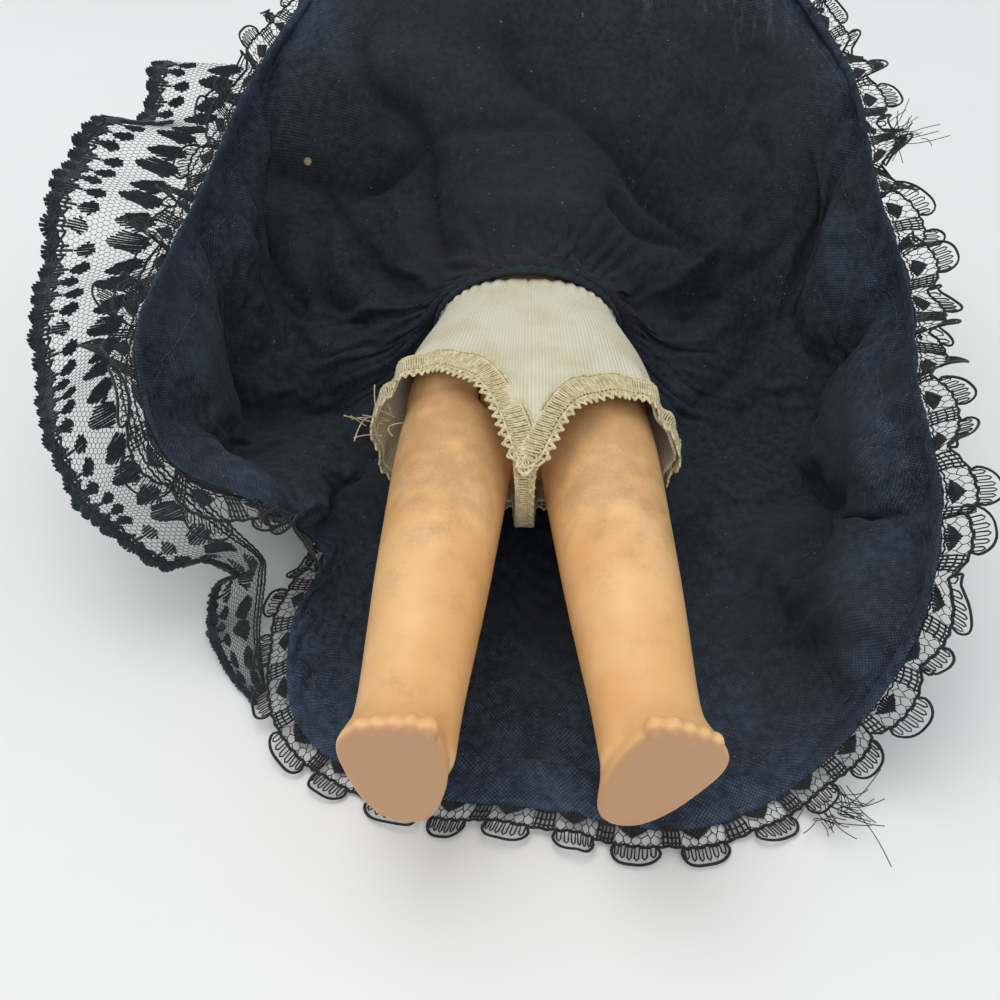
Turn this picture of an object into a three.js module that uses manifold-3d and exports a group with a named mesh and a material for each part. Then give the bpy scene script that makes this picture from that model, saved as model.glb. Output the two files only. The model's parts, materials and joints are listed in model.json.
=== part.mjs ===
// Costume doll in Spanish dancer's dress, lying on its back with its skirt thrown open.
// Millimetres, +Z up. The head points along +Y, the feet along -Y, the doll's own left side along +X.
// The origin is on the table, in the middle of the flat stretch of skirt that the doll lies on.
import * as THREE from "three";
import { mergeVertices } from "three/addons/utils/BufferGeometryUtils.js";
import Module from "manifold-3d";

const wasm = await Module();
wasm.setup();

// Placing of the body
const BODY_Z = 22; // centre line of torso, legs and head above the table
const WAIST_Y = 45; // waist, along the body from the origin
const FIT = 0.3; // clearance between pieces that seat on each other
const SIDES = { left: 1, right: -1 }; // the doll's own sides, as signs of X

// Torso, a hollow moulding in two halves
const TORSO_WALL = 1.8;
const WAIST_HALF_WIDTH = 15.5;
const WAIST_HALF_DEPTH = 11.2;
const HIP_HALF_WIDTH = 17;
const HIP_HALF_DEPTH = 11.8;
const CHEST_HALF_WIDTH = 16.4;
const CHEST_HALF_DEPTH = 12;
const HIP_DROP = 28; // hip joint below the waist
const SHOULDER_RISE = 31; // shoulder joint above the waist
const TORSO_RISE = 38.5; // top of the torso above the waist
const NECK_HALF_WIDTH = 7.5; // top of the torso, where the neck sits in

// Hip joints: a round leg top turns against a flat on the torso
const HIP_FLAT = 8; // half the torso's width between the leg tops
const HIP_DISC_RADIUS = 11.5;
const HIP_DISC_REACH = 13.2; // from the flat to the outside of the hip
const HOOK_HOLE_RADIUS = 3;

// Legs
const LEG_LENGTH = 76; // hip joint to sole
const LEG_HIP_X = 11.5; // middle of the thigh at the hip
const LEG_SPREAD = { left: 6.2, right: 4.2 }; // foot further out than the hip, the strung legs a little askew
const THIGH_RADIUS = 9.9;
const KNEE_RADIUS = 8.7;
const CALF_RADIUS = 8;
const ANKLE_RADIUS = 7.3;
const FOOT_LENGTH = 21.4;
const FOOT_WIDTH = 14;
const HEEL_WIDTH = 11;
const FOOT_RISE = 12; // sole to the ankle
const HEEL_BACK = 12; // heel behind the leg's centre line
const TOE_RADIUS = 1.35;
const TOE_OUT = { left: 25, right: 5 }; // degrees that each foot is turned out
const SIT_ANGLE = 85; // degrees that a leg swings forward

// Arms
const SHOULDER_FLAT = 14; // half the torso's width at the arm tops
const ARM_DISC_RADIUS = 6.4;
const ARM_DISC_REACH = 9;
const ARM_LENGTH = 60; // shoulder joint to fingertips
const ARM_RADIUS = 5.3;
const WRIST_RADIUS = 3.3;
const ARM_SPLAY = 20; // degrees that the arms stand off the body
const ARM_RAISE = 160; // degrees from hanging down to where they lie over the head
const FINGER_RADIUS = 0.95;

// Head, a hollow moulding in two halves with sleeping eyes
const HEAD_WALL = 1.7;
const HEAD_HALF_WIDTH = 19;
const HEAD_HALF_HEIGHT = 21;
const HEAD_HALF_DEPTH = 19.3;
const HEAD_RISE = 62; // middle of the head above the waist
const NECK_RADIUS = 6.8;
const NECK_BORE = 3.2;
const EYE_RADIUS = 4.5;
const EYE_APART = 7.4; // each eye from the middle of the face
const EYE_RISE = 1.2; // above the middle of the head
const EYE_FORWARD = 10.6; // in front of the middle of the head
const EYE_SLIT = { halfWidth: 3.9, halfHeight: 2.6 };
const WEIGHT_ARM = 9; // eye axle to the counterweight
const WEIGHT_RADIUS = 2.6;
const WEIGHT_TILT = 10; // degrees between the closed weight arm and straight back
const HAIR_THICKNESS = 2;
const BUN_RADIUS = 8.5;

// Wire and elastic that string the limbs to the torso
const WIRE_RADIUS = 0.5;
const RING_RADIUS = 2; // ring at the end of each hook, on the wire's centre line
const HOOK_REACH = 3.6; // from a limb's flat face to the middle of its ring
const ELASTIC_RADIUS = 0.9;
const HEAD_HOOK_DROP = 20; // ring of the head hook below the top of the torso

// Clothes
const CLOTH = 0.9; // thickness of bodice and knickers
const BODICE_TOP = 35; // above the waist
const BAND_WIDTH = 3.2;
const BAND_THICKNESS = 1.1;
const KNICKERS_EASE = 1.3; // knickers off the skin
const KNICKERS_CUFF_HALF_DEPTH = 12.6;
const KNICKERS_CUFF_REACH = 24.8; // outside of the leg opening from the middle of the body
const GUSSET_HALF_WIDTH = 1.6;
const LEG_LACE_WIDTH = 7;
const LEG_LACE_LAP = 1.6; // lace over the edge of the knit
const LEG_LACE_THICKNESS = 0.7;
const SKIRT_THICKNESS = 1;
const SKIRT_HALF_WIDTH = 65; // side of the spread skirt from its middle
const SKIRT_REACH = 126; // front of the hem along the body from the origin
const SKIRT_RISE = 94; // front of the hem above the table
const SKIRT_SHIFT = 2; // the skirt's middle is this far to the left of the body's
const HEM_LACE_WIDTH = 6.6;
const HEM_LACE_THICKNESS = 0.7;
const HEM_SCALLOPS = 54;
const FLOUNCE_THICKNESS = 0.7;
const FOLDS = 11; // main folds round the skirt
const FOLD_DEPTH = 1.2;
const PUFF = 4; // how far the cloth puffs up between its creases
const CREASE_WIDTH = 7;

// Where the pieces come, worked out from the sizes above
const HIP_Y = WAIST_Y - HIP_DROP;
const SHOULDER_Y = WAIST_Y + SHOULDER_RISE;
const TORSO_TOP_Y = WAIST_Y + TORSO_RISE;
const HEAD_Y = WAIST_Y + HEAD_RISE;
const BODICE_GROW = 0.35;
const BAND_GROW = BODICE_GROW + CLOTH + FIT; // inside of the waistband off the skin
const BAND_OUTSIDE = BAND_GROW + BAND_THICKNESS;
const HIP_AXIS = new THREE.Vector3(0, HIP_Y, BODY_Z);
const SHOULDER_AXIS = new THREE.Vector3(0, SHOULDER_Y, BODY_Z);
const HEAD_CENTRE = new THREE.Vector3(0, HEAD_Y, BODY_Z);
const FAR = 400; // longer than anything here, for cutting blocks

// Facets round the forms
const BODY_FACETS = 20;
const LIMB_FACETS = 16;
const JOINT_FACETS = 18;
const WIRE_FACETS = 6;
const HEAD_FACETS = { round: 20, tall: 14 };

const FINISHES = {
  flesh: finish(0xe0ac72, 0.45),
  black: finish(0x14161c, 0.95),
  lace: finish(0x0e1216, 0.9),
  knit: finish(0xd8d2bd, 0.95),
  creamLace: finish(0xcbbd8c, 0.95),
  hair: finish(0x1b120d, 0.6),
  steel: finish(0x9a9a98, 0.35, 0.9),
  lead: finish(0x5b5d60, 0.6, 0.8),
  rubber: finish(0xd9cfb2, 0.85),
  eye: finish(0xe6b98c, 0.25),
};

function finish(colour, roughness, metalness = 0) {
  return new THREE.MeshStandardMaterial({ color: colour, roughness, metalness });
}

// Closed geometry to a solid that can be joined and cut, and back

function solid(geometry) {
  const bare = new THREE.BufferGeometry();
  bare.setAttribute("position", geometry.getAttribute("position").clone());
  if (geometry.index) bare.setIndex(geometry.index.clone());
  const merged = mergeVertices(bare, 1e-4);
  const corners = merged.index.array;
  const triangles = [];
  for (let i = 0; i < corners.length; i += 3) {
    const [a, b, c] = [corners[i], corners[i + 1], corners[i + 2]];
    if (a !== b && b !== c && c !== a) triangles.push(a, b, c);
  }
  const vertProperties = new Float32Array(merged.getAttribute("position").array);
  const make = (order) =>
    new wasm.Manifold(new wasm.Mesh({ numProp: 3, vertProperties, triVerts: new Uint32Array(order) }));
  const made = make(triangles);
  return made.volume() < 0 ? make(triangles.reverse()) : made;
}

function geometryOf(made) {
  const mesh = made.getMesh();
  const positions = new Float32Array(mesh.numVert * 3);
  for (let i = 0; i < mesh.numVert; i++) {
    positions.set(mesh.vertProperties.subarray(i * mesh.numProp, i * mesh.numProp + 3), i * 3);
  }
  const geometry = new THREE.BufferGeometry();
  geometry.setAttribute("position", new THREE.BufferAttribute(positions, 3));
  geometry.setIndex(new THREE.BufferAttribute(new Uint32Array(mesh.triVerts), 1));
  geometry.computeVertexNormals();
  return geometry;
}

const join = (...solids) => solids.reduce((whole, next) => whole.add(next));

// Basic forms

// A block given by its lowest and highest corners.
function block(low, high) {
  const size = new THREE.Vector3().subVectors(high, low);
  const geometry = new THREE.BoxGeometry(size.x, size.y, size.z);
  const middle = new THREE.Vector3().addVectors(low, high).multiplyScalar(0.5);
  return solid(geometry.translate(middle.x, middle.y, middle.z));
}

// Everything between two levels along the body.
const slab = (fromY, toY) =>
  block(new THREE.Vector3(-FAR, fromY, -FAR), new THREE.Vector3(FAR, toY, FAR));

const frontHalf = () =>
  block(new THREE.Vector3(-FAR, -FAR, BODY_Z), new THREE.Vector3(FAR, FAR, FAR));

const backHalf = () =>
  block(new THREE.Vector3(-FAR, -FAR, -FAR), new THREE.Vector3(FAR, FAR, BODY_Z));

function ball(centre, radius, [scaleX, scaleY, scaleZ] = [1, 1, 1], round = 14, tall = 9) {
  const geometry = new THREE.SphereGeometry(radius, round, tall).scale(scaleX, scaleY, scaleZ);
  return solid(geometry.translate(centre.x, centre.y, centre.z));
}

// A round bar between two points.
function bar(from, to, radius, sides = WIRE_FACETS) {
  const along = new THREE.Vector3().subVectors(to, from);
  const geometry = new THREE.CylinderGeometry(radius, radius, along.length(), sides);
  const turn = new THREE.Quaternion().setFromUnitVectors(
    new THREE.Vector3(0, 1, 0),
    along.clone().normalize(),
  );
  const middle = new THREE.Vector3().addVectors(from, to).multiplyScalar(0.5);
  return solid(geometry.applyQuaternion(turn).translate(middle.x, middle.y, middle.z));
}

// A round tube along a curve.
function cord(points, radius, steps) {
  const section = new THREE.Shape().absarc(0, 0, radius, 0, Math.PI * 2);
  const options = {
    steps,
    curveSegments: WIRE_FACETS / 2,
    bevelEnabled: false,
    extrudePath: new THREE.CatmullRomCurve3(points),
  };
  return solid(new THREE.ExtrudeGeometry(section, options));
}

// A closed skin through rings of points, with a fan over each end.
function skin(rings) {
  const count = rings[0].length;
  const points = rings.flat();
  const index = [];
  for (let ring = 0; ring + 1 < rings.length; ring++) {
    for (let i = 0; i < count; i++) {
      const a = ring * count + i;
      const b = ring * count + ((i + 1) % count);
      index.push(a, b, b + count, a, b + count, a + count);
    }
  }
  const cap = (ring, offset, turned) => {
    const middle = ring.reduce((sum, p) => sum.add(p), new THREE.Vector3()).divideScalar(count);
    points.push(middle);
    for (let i = 0; i < count; i++) {
      const next = (i + 1) % count;
      const edge = turned ? [offset + i, offset + next] : [offset + next, offset + i];
      index.push(points.length - 1, ...edge);
    }
  };
  cap(rings[0], 0, false);
  cap(rings.at(-1), (rings.length - 1) * count, true);
  const geometry = new THREE.BufferGeometry().setFromPoints(points);
  return solid(geometry.setIndex(index));
}

// An oval ring across the body or a limb that runs along Y.
function ovalRing(y, halfWidth, halfDepth, sides, centreX = 0, centreZ = 0) {
  return Array.from({ length: sides }, (_, i) => {
    const angle = (i / sides) * Math.PI * 2;
    const x = centreX + halfWidth * Math.cos(angle);
    return new THREE.Vector3(x, y, centreZ + halfDepth * Math.sin(angle));
  });
}

// Smooth values between stations, each station being [along, first size, second size].
function smoothStations(stations, count) {
  const curve = new THREE.CatmullRomCurve3(stations.map((s) => new THREE.Vector3(...s)));
  return curve.getPoints(count);
}

// A thin sheet over surface(u, v): two skins half a thickness to each side, joined along the edges.
function sheet(surface, columns, rows, thickness, round) {
  const across = round ? columns : columns + 1;
  const sampled = [];
  for (let row = 0; row <= rows; row++) {
    for (let column = 0; column < across; column++) {
      const [u, v] = [column / columns, row / rows];
      const step = 1e-3;
      const middle = surface(u, v);
      const alongU = surface(u + step, v).sub(surface(u - step, v));
      const alongV = surface(u, Math.min(v + step, 1)).sub(surface(u, Math.max(v - step, 0)));
      sampled.push({ middle, normal: alongU.cross(alongV).normalize() });
    }
  }
  const offset = (distance) =>
    sampled.map(({ middle, normal }) => middle.clone().addScaledVector(normal, distance));
  const points = [...offset(thickness / 2), ...offset(-thickness / 2)];
  const under = sampled.length;
  const index = [];
  const quad = (a, b, c, d) => index.push(a, b, c, a, c, d);
  const at = (row, column) => row * across + (column % across);
  const lastColumn = round ? across : across - 1;
  for (let row = 0; row < rows; row++) {
    for (let column = 0; column < lastColumn; column++) {
      const [a, b] = [at(row, column), at(row, column + 1)];
      const [d, c] = [at(row + 1, column), at(row + 1, column + 1)];
      quad(a, b, c, d);
      quad(under + a, under + d, under + c, under + b);
    }
  }
  for (let column = 0; column < lastColumn; column++) {
    const [a, b] = [at(0, column), at(0, column + 1)];
    const [c, d] = [at(rows, column), at(rows, column + 1)];
    quad(under + a, under + b, b, a);
    quad(c, d, under + d, under + c);
  }
  if (!round) {
    for (let row = 0; row < rows; row++) {
      const [a, b] = [at(row, 0), at(row + 1, 0)];
      const [c, d] = [at(row, columns), at(row + 1, columns)];
      quad(a, b, under + b, under + a);
      quad(under + c, under + d, d, c);
    }
  }
  return solid(new THREE.BufferGeometry().setFromPoints(points).setIndex(index));
}

// Torso

// The torso's outside, grown or shrunk all over by one distance.
function torsoForm(grow = 0) {
  const stations = [
    [WAIST_Y - HIP_DROP - HIP_DISC_RADIUS + FIT, 3, 5],
    [WAIST_Y - HIP_DROP - 0.7 * HIP_DISC_RADIUS, 0.5 * HIP_HALF_WIDTH, 0.78 * HIP_HALF_DEPTH],
    [WAIST_Y - HIP_DROP, 0.9 * HIP_HALF_WIDTH, 0.95 * HIP_HALF_DEPTH],
    [WAIST_Y - 0.45 * HIP_DROP, HIP_HALF_WIDTH, HIP_HALF_DEPTH],
    [WAIST_Y, WAIST_HALF_WIDTH, WAIST_HALF_DEPTH],
    [WAIST_Y + 0.35 * SHOULDER_RISE, WAIST_HALF_WIDTH, WAIST_HALF_DEPTH],
    [WAIST_Y + 0.75 * SHOULDER_RISE, CHEST_HALF_WIDTH, CHEST_HALF_DEPTH],
    [SHOULDER_Y, 0.95 * CHEST_HALF_WIDTH, 0.92 * CHEST_HALF_DEPTH],
    [TORSO_TOP_Y - 2.5, 0.7 * CHEST_HALF_WIDTH, 0.77 * CHEST_HALF_DEPTH],
    [TORSO_TOP_Y, NECK_HALF_WIDTH, NECK_HALF_WIDTH],
  ];
  const middleY = WAIST_Y;
  const rings = smoothStations(stations, 13).map((p) => {
    const y = p.x + grow * THREE.MathUtils.clamp((p.x - middleY) / SHOULDER_RISE, -1, 1);
    return ovalRing(y, p.y + grow, p.z + grow, BODY_FACETS, 0, BODY_Z);
  });
  return skin(rings);
}

// A round joint disc with a domed outside, turned about X, with its flat face at x = 0.
function jointDisc(radius, reach, side) {
  const straight = 0.4 * reach;
  const profile = [new THREE.Vector2(0, 0), new THREE.Vector2(radius, 0)];
  const arcSteps = 4;
  for (let i = 0; i <= arcSteps; i++) {
    const angle = (i / arcSteps) * (Math.PI / 2);
    const rise = straight + (reach - straight) * Math.sin(angle);
    profile.push(new THREE.Vector2(i < arcSteps ? radius * Math.cos(angle) : 0, rise));
  }
  const geometry = new THREE.LatheGeometry(profile, JOINT_FACETS).rotateZ(-Math.PI / 2);
  return geometry.scale(side, 1, 1);
}

// The space that a joint disc turns in, standing off the torso from a flat at x = flat.
function jointSpace(axis, flat, radius, side) {
  const from = new THREE.Vector3(side * flat, axis.y, axis.z);
  return bar(from, new THREE.Vector3(side * FAR, axis.y, axis.z), radius + FIT, JOINT_FACETS);
}

function torsoShell() {
  let shell = torsoForm().subtract(torsoForm(-TORSO_WALL));
  for (const side of Object.values(SIDES)) {
    shell = join(shell, jointWall(HIP_AXIS, HIP_FLAT, HIP_DISC_RADIUS, side));
    const groinWall = sittingThigh(side, TORSO_WALL + FIT).subtract(crotch(TORSO_WALL));
    shell = join(shell, groinWall.intersect(torsoForm()));
    shell = join(shell, jointWall(SHOULDER_AXIS, SHOULDER_FLAT, ARM_DISC_RADIUS, side));
    shell = shell
      .subtract(jointSpace(HIP_AXIS, HIP_FLAT, HIP_DISC_RADIUS, side))
      .subtract(sittingThigh(side, FIT).subtract(crotch(0)))
      .subtract(jointSpace(SHOULDER_AXIS, SHOULDER_FLAT, ARM_DISC_RADIUS, side));
  }
  for (const axis of [HIP_AXIS, SHOULDER_AXIS]) {
    const across = new THREE.Vector3(FAR, 0, 0);
    const [from, to] = [axis.clone().sub(across), axis.clone().add(across)];
    shell = shell.subtract(bar(from, to, HOOK_HOLE_RADIUS, 12));
  }
  const neckSeat = ball(new THREE.Vector3(0, neckBallY(), BODY_Z), NECK_RADIUS + FIT);
  const neckHole = bar(
    new THREE.Vector3(0, TORSO_TOP_Y - HEAD_HOOK_DROP, BODY_Z),
    new THREE.Vector3(0, TORSO_TOP_Y + FAR, BODY_Z),
    NECK_BORE + FIT,
    12,
  );
  return shell.subtract(neckSeat).subtract(neckHole);
}

// The wall behind a joint's flat, where the flat cuts into the hollow torso.
function jointWall(axis, flat, radius, side) {
  const inner = new THREE.Vector3(side * (flat - TORSO_WALL), axis.y, axis.z);
  const outer = new THREE.Vector3(side * FAR, axis.y, axis.z);
  return bar(inner, outer, radius + FIT + TORSO_WALL, JOINT_FACETS).intersect(torsoForm());
}

// The groin: the space that the thigh fills when the doll sits, round the disc that it turns on.
function sittingThigh(side, grow) {
  const sit = THREE.MathUtils.degToRad(SIT_ANGLE);
  const hip = new THREE.Vector3(side * LEG_HIP_X, HIP_Y, BODY_Z);
  const knee = hip.clone().add(new THREE.Vector3(0, -Math.cos(sit), Math.sin(sit)).multiplyScalar(LEG_LENGTH));
  return bar(hip, knee, 1.05 * THIGH_RADIUS + grow, JOINT_FACETS);
}

// What the torso keeps between the legs: a rounded crotch inside the thighs' turning circle.
function crotch(inset) {
  const ends = [1, -1].map((side) => new THREE.Vector3(side * (HIP_FLAT - inset), HIP_Y, BODY_Z));
  return bar(...ends, HIP_DISC_RADIUS - inset, JOINT_FACETS);
}

// Middle of the ball end of the neck, which dips into the top of the torso.
function neckBallY() {
  return TORSO_TOP_Y - 2 + NECK_RADIUS;
}

// Legs

// Foot outline seen from the sole, an egg with its heel towards -Z and its toes towards +Z.
// The big toe is on the inner side, and the heel lies towards that side too.
function soleRing(side, inset, sides) {
  const [toe, heel] = [FOOT_WIDTH / 2, HEEL_WIDTH / 2];
  const [front, back] = [FOOT_LENGTH - HEEL_BACK, HEEL_BACK];
  const outline = [
    [1.08 * toe, 0.46 * front],
    [0.58 * toe, 0.92 * front],
    [-0.5 * toe, 0.98 * front],
    [-0.92 * toe, 0.48 * front],
    [-0.9 * toe, -0.09 * back],
    [-0.9 * heel, -0.55 * back],
    [0.05 * heel, -back],
    [0.86 * toe, -0.54 * back],
    [1.03 * toe, -0.08 * back],
  ];
  const points = outline.map(([x, z]) => new THREE.Vector3(x, 0, z));
  const curve = new THREE.CatmullRomCurve3(points, true, "centripetal");
  const [narrower, shorter] = [1 - inset / toe, 1 - inset / back];
  return curve
    .getSpacedPoints(sides)
    .slice(0, sides)
    .map((p) => ({ x: side * p.x * narrower, z: p.z * shorter }));
}

function foot(side) {
  const sides = 18;
  const levels = [
    { rise: 0, inset: 0.75, blend: 0 },
    { rise: 0.06 * FOOT_RISE, inset: 0, blend: 0 },
    { rise: 0.17 * FOOT_RISE, inset: 0.1, blend: 0.06 },
    { rise: 0.35 * FOOT_RISE, inset: 0.2, blend: 0.42 },
    { rise: 0.58 * FOOT_RISE, inset: 0.2, blend: 0.86 },
    { rise: 1.1 * FOOT_RISE, inset: 0, blend: 1.04 },
  ];
  const rings = levels.map(({ rise, inset, blend }) =>
    soleRing(side, inset, sides).map(({ x, z }) => {
      const angle = Math.atan2(z, x);
      const ankle = { x: ANKLE_RADIUS * Math.cos(angle), z: ANKLE_RADIUS * Math.sin(angle) };
      const mixed = [x + (ankle.x - x) * blend, z + (ankle.z - z) * blend];
      return new THREE.Vector3(mixed[0], rise - LEG_LENGTH, mixed[1]);
    }),
  );
  return join(skin(rings), ...toes(side));
}

// Five toes along the front of the foot, the big one on the inner side.
function toes(side) {
  const outline = soleRing(side, 0, 200);
  return Array.from({ length: 5 }, (_, i) => {
    const share = i / 4; // 0 at the big toe, 1 at the little one
    const radius = TOE_RADIUS * (1.12 - 0.3 * share);
    const x = (side * FOOT_WIDTH * (1.25 * share - 0.7)) / 2;
    const front = Math.max(...outline.filter((p) => Math.abs(p.x - x) < 0.6).map((p) => p.z));
    const centre = new THREE.Vector3(x, TOE_RADIUS - LEG_LENGTH, front - 0.62 * radius);
    return ball(centre, radius, [0.9, 1.25, 1], 6, 4);
  });
}

function leg(name) {
  const side = SIDES[name];
  const stations = [
    [0, 0.95 * THIGH_RADIUS, 1.0 * THIGH_RADIUS],
    [0.1 * LEG_LENGTH, THIGH_RADIUS, 1.04 * THIGH_RADIUS],
    [0.22 * LEG_LENGTH, THIGH_RADIUS, 1.03 * THIGH_RADIUS],
    [0.4 * LEG_LENGTH, 0.94 * THIGH_RADIUS, 0.97 * THIGH_RADIUS],
    [0.56 * LEG_LENGTH, KNEE_RADIUS, 1.04 * KNEE_RADIUS],
    [0.7 * LEG_LENGTH, CALF_RADIUS, 1.05 * CALF_RADIUS],
    [LEG_LENGTH - FOOT_RISE, ANKLE_RADIUS, 1.03 * ANKLE_RADIUS],
    [LEG_LENGTH - 0.5 * FOOT_RISE, 0.8 * ANKLE_RADIUS, 0.8 * ANKLE_RADIUS],
  ];
  const rings = smoothStations(stations, 11).map((p) => ovalRing(-p.x, p.y, p.z, LIMB_FACETS));
  const limb = skin(rings).add(foot(side));
  const turned = new THREE.Matrix4()
    .makeTranslation(side * LEG_HIP_X, 0, 0)
    .multiply(new THREE.Matrix4().makeRotationZ(side * Math.atan(LEG_SPREAD[name] / LEG_LENGTH)))
    .multiply(new THREE.Matrix4().makeRotationY(side * THREE.MathUtils.degToRad(TOE_OUT[name])));
  const placed = solid(geometryOf(limb).applyMatrix4(turned));
  const flat = HIP_FLAT + FIT;
  const disc = jointDisc(HIP_DISC_RADIUS, HIP_DISC_REACH, side).translate(side * flat, 0, 0);
  const crotchSpace = bar(
    new THREE.Vector3(-side * FAR, 0, 0),
    new THREE.Vector3(side * flat, 0, 0),
    HIP_DISC_RADIUS + 2 * FIT,
    JOINT_FACETS,
  );
  const shank = hookShank(side, HIP_FLAT + FIT, HIP_DISC_RADIUS);
  const whole = join(placed.subtract(crotchSpace), solid(disc)).subtract(shank.socket);
  const made = group(HIP_AXIS);
  made.add(piece(`leg_${name}`, whole, FINISHES.flesh));
  made.add(piece(`leg_hook_${name}`, shank.hook, FINISHES.steel));
  return made;
}

// Wire hook of a limb: a shank set in the limb, with a ring that the elastic goes through.
function hookShank(side, flat, depth) {
  const inside = side * (flat + 0.6 * depth);
  const ringX = side * (flat - HOOK_REACH);
  const neckX = ringX + side * RING_RADIUS;
  const wire = bar(new THREE.Vector3(neckX, 0, 0), new THREE.Vector3(inside, 0, 0), WIRE_RADIUS);
  const ring = new THREE.TorusGeometry(RING_RADIUS, WIRE_RADIUS, WIRE_FACETS, 10).translate(ringX, 0, 0);
  const socketEnd = new THREE.Vector3(inside + side * FIT, 0, 0);
  const socket = bar(new THREE.Vector3(ringX, 0, 0), socketEnd, WIRE_RADIUS + FIT);
  return { hook: join(wire, solid(ring)), socket };
}

// Arms

function arm(name) {
  const side = SIDES[name];
  const splay = THREE.MathUtils.degToRad(ARM_SPLAY);
  const out = (s, lift) =>
    new THREE.Vector3(side * (ARM_DISC_RADIUS - 1 + s * Math.sin(splay)), -s * Math.cos(splay), lift);
  const palm = ARM_LENGTH - 9;
  const stations = [
    { s: 0, lift: 0, width: 0.9 * ARM_RADIUS, depth: 0.9 * ARM_RADIUS },
    { s: 0.16 * ARM_LENGTH, lift: 0, width: ARM_RADIUS, depth: ARM_RADIUS },
    { s: 0.4 * ARM_LENGTH, lift: -0.8, width: 0.9 * ARM_RADIUS, depth: 0.92 * ARM_RADIUS },
    { s: 0.52 * ARM_LENGTH, lift: -0.6, width: 0.86 * ARM_RADIUS, depth: 0.86 * ARM_RADIUS },
    { s: 0.66 * ARM_LENGTH, lift: 1.4, width: 0.8 * ARM_RADIUS, depth: 0.8 * ARM_RADIUS },
    { s: 0.76 * ARM_LENGTH, lift: 3.2, width: WRIST_RADIUS, depth: WRIST_RADIUS },
    { s: palm, lift: 4.8, width: 1.25 * WRIST_RADIUS, depth: 0.72 * WRIST_RADIUS },
    { s: palm + 2.6, lift: 5.4, width: 1.1 * WRIST_RADIUS, depth: 0.5 * WRIST_RADIUS },
  ];
  const middles = new THREE.CatmullRomCurve3(stations.map(({ s, lift }) => out(s, lift)));
  const widths = new THREE.CatmullRomCurve3(
    stations.map(({ s, width, depth }) => new THREE.Vector3(s, width, depth)),
  );
  const steps = 10;
  const rings = Array.from({ length: steps + 1 }, (_, i) => {
    const [middle, size] = [middles.getPoint(i / steps), widths.getPoint(i / steps)];
    return ovalRing(middle.y, size.y, size.z, 12, middle.x, middle.z);
  });
  const shoulder = jointDisc(ARM_DISC_RADIUS, ARM_DISC_REACH, side);
  const fingers = hand(side, out, palm, splay);
  const limb = join(skin(rings), ...fingers).intersect(outside(side));
  const shank = hookShank(side, 0, ARM_DISC_RADIUS);
  const made = group(new THREE.Vector3(side * (SHOULDER_FLAT + FIT), SHOULDER_Y, BODY_Z));
  made.rotation.x = -THREE.MathUtils.degToRad(ARM_RAISE);
  made.add(piece(`arm_${name}`, join(limb, solid(shoulder)).subtract(shank.socket), FINISHES.flesh));
  made.add(piece(`arm_hook_${name}`, shank.hook, FINISHES.steel));
  return made;
}

// Everything on the outer side of a limb's flat face.
function outside(side) {
  const corners = [new THREE.Vector3(0, -FAR, -FAR), new THREE.Vector3(side * FAR, FAR, FAR)];
  const low = corners[0].clone().min(corners[1]);
  return block(low, corners[0].max(corners[1]));
}

// Four fingers and a thumb, each a rounded bar.
function hand(side, out, palm, splay) {
  const finger = (from, direction, length, radius) => {
    const geometry = new THREE.CapsuleGeometry(radius, length, 2, WIRE_FACETS);
    const turn = new THREE.Quaternion().setFromUnitVectors(new THREE.Vector3(0, 1, 0), direction);
    const middle = from.clone().addScaledVector(direction, length / 2);
    return solid(geometry.applyQuaternion(turn).translate(middle.x, middle.y, middle.z));
  };
  const along = new THREE.Vector3(side * Math.sin(splay), -Math.cos(splay), 0.22).normalize();
  const across = new THREE.Vector3(Math.cos(splay), side * Math.sin(splay), 0);
  const lengths = [6, 6.9, 6.6, 5.2];
  const made = lengths.map((length, i) => {
    const root = out(palm + 1, 5).addScaledVector(across, (i - 1.5) * 1.75 * FINGER_RADIUS);
    return finger(root, along, length - FINGER_RADIUS, FINGER_RADIUS);
  });
  const thumbWay = along.clone().addScaledVector(across, -0.9 * side).normalize();
  const thumbRoot = out(palm - 3.5, 4.6).addScaledVector(across, -side * 0.7 * WRIST_RADIUS);
  return [...made, finger(thumbRoot, thumbWay, 4.6, 1.1 * FINGER_RADIUS)];
}

// Head

// The head's outside, grown or shrunk all over; the face is modelled on its front.
function headForm(grow = 0, withFace = true) {
  const geometry = new THREE.SphereGeometry(1, HEAD_FACETS.round, HEAD_FACETS.tall);
  const position = geometry.getAttribute("position");
  const way = new THREE.Vector3();
  for (let i = 0; i < position.count; i++) {
    way.fromBufferAttribute(position, i);
    const relief = withFace ? faceRelief(way) : 0;
    const jaw = 1 - 0.1 * Math.max(0, -way.y) * Math.max(0, -way.y); // narrower towards the chin
    position.setXYZ(
      i,
      way.x * (HEAD_HALF_WIDTH + grow + relief) * jaw,
      HEAD_Y + way.y * (HEAD_HALF_HEIGHT + grow + relief),
      BODY_Z + way.z * (HEAD_HALF_DEPTH + grow + relief),
    );
  }
  return solid(geometry);
}

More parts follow.
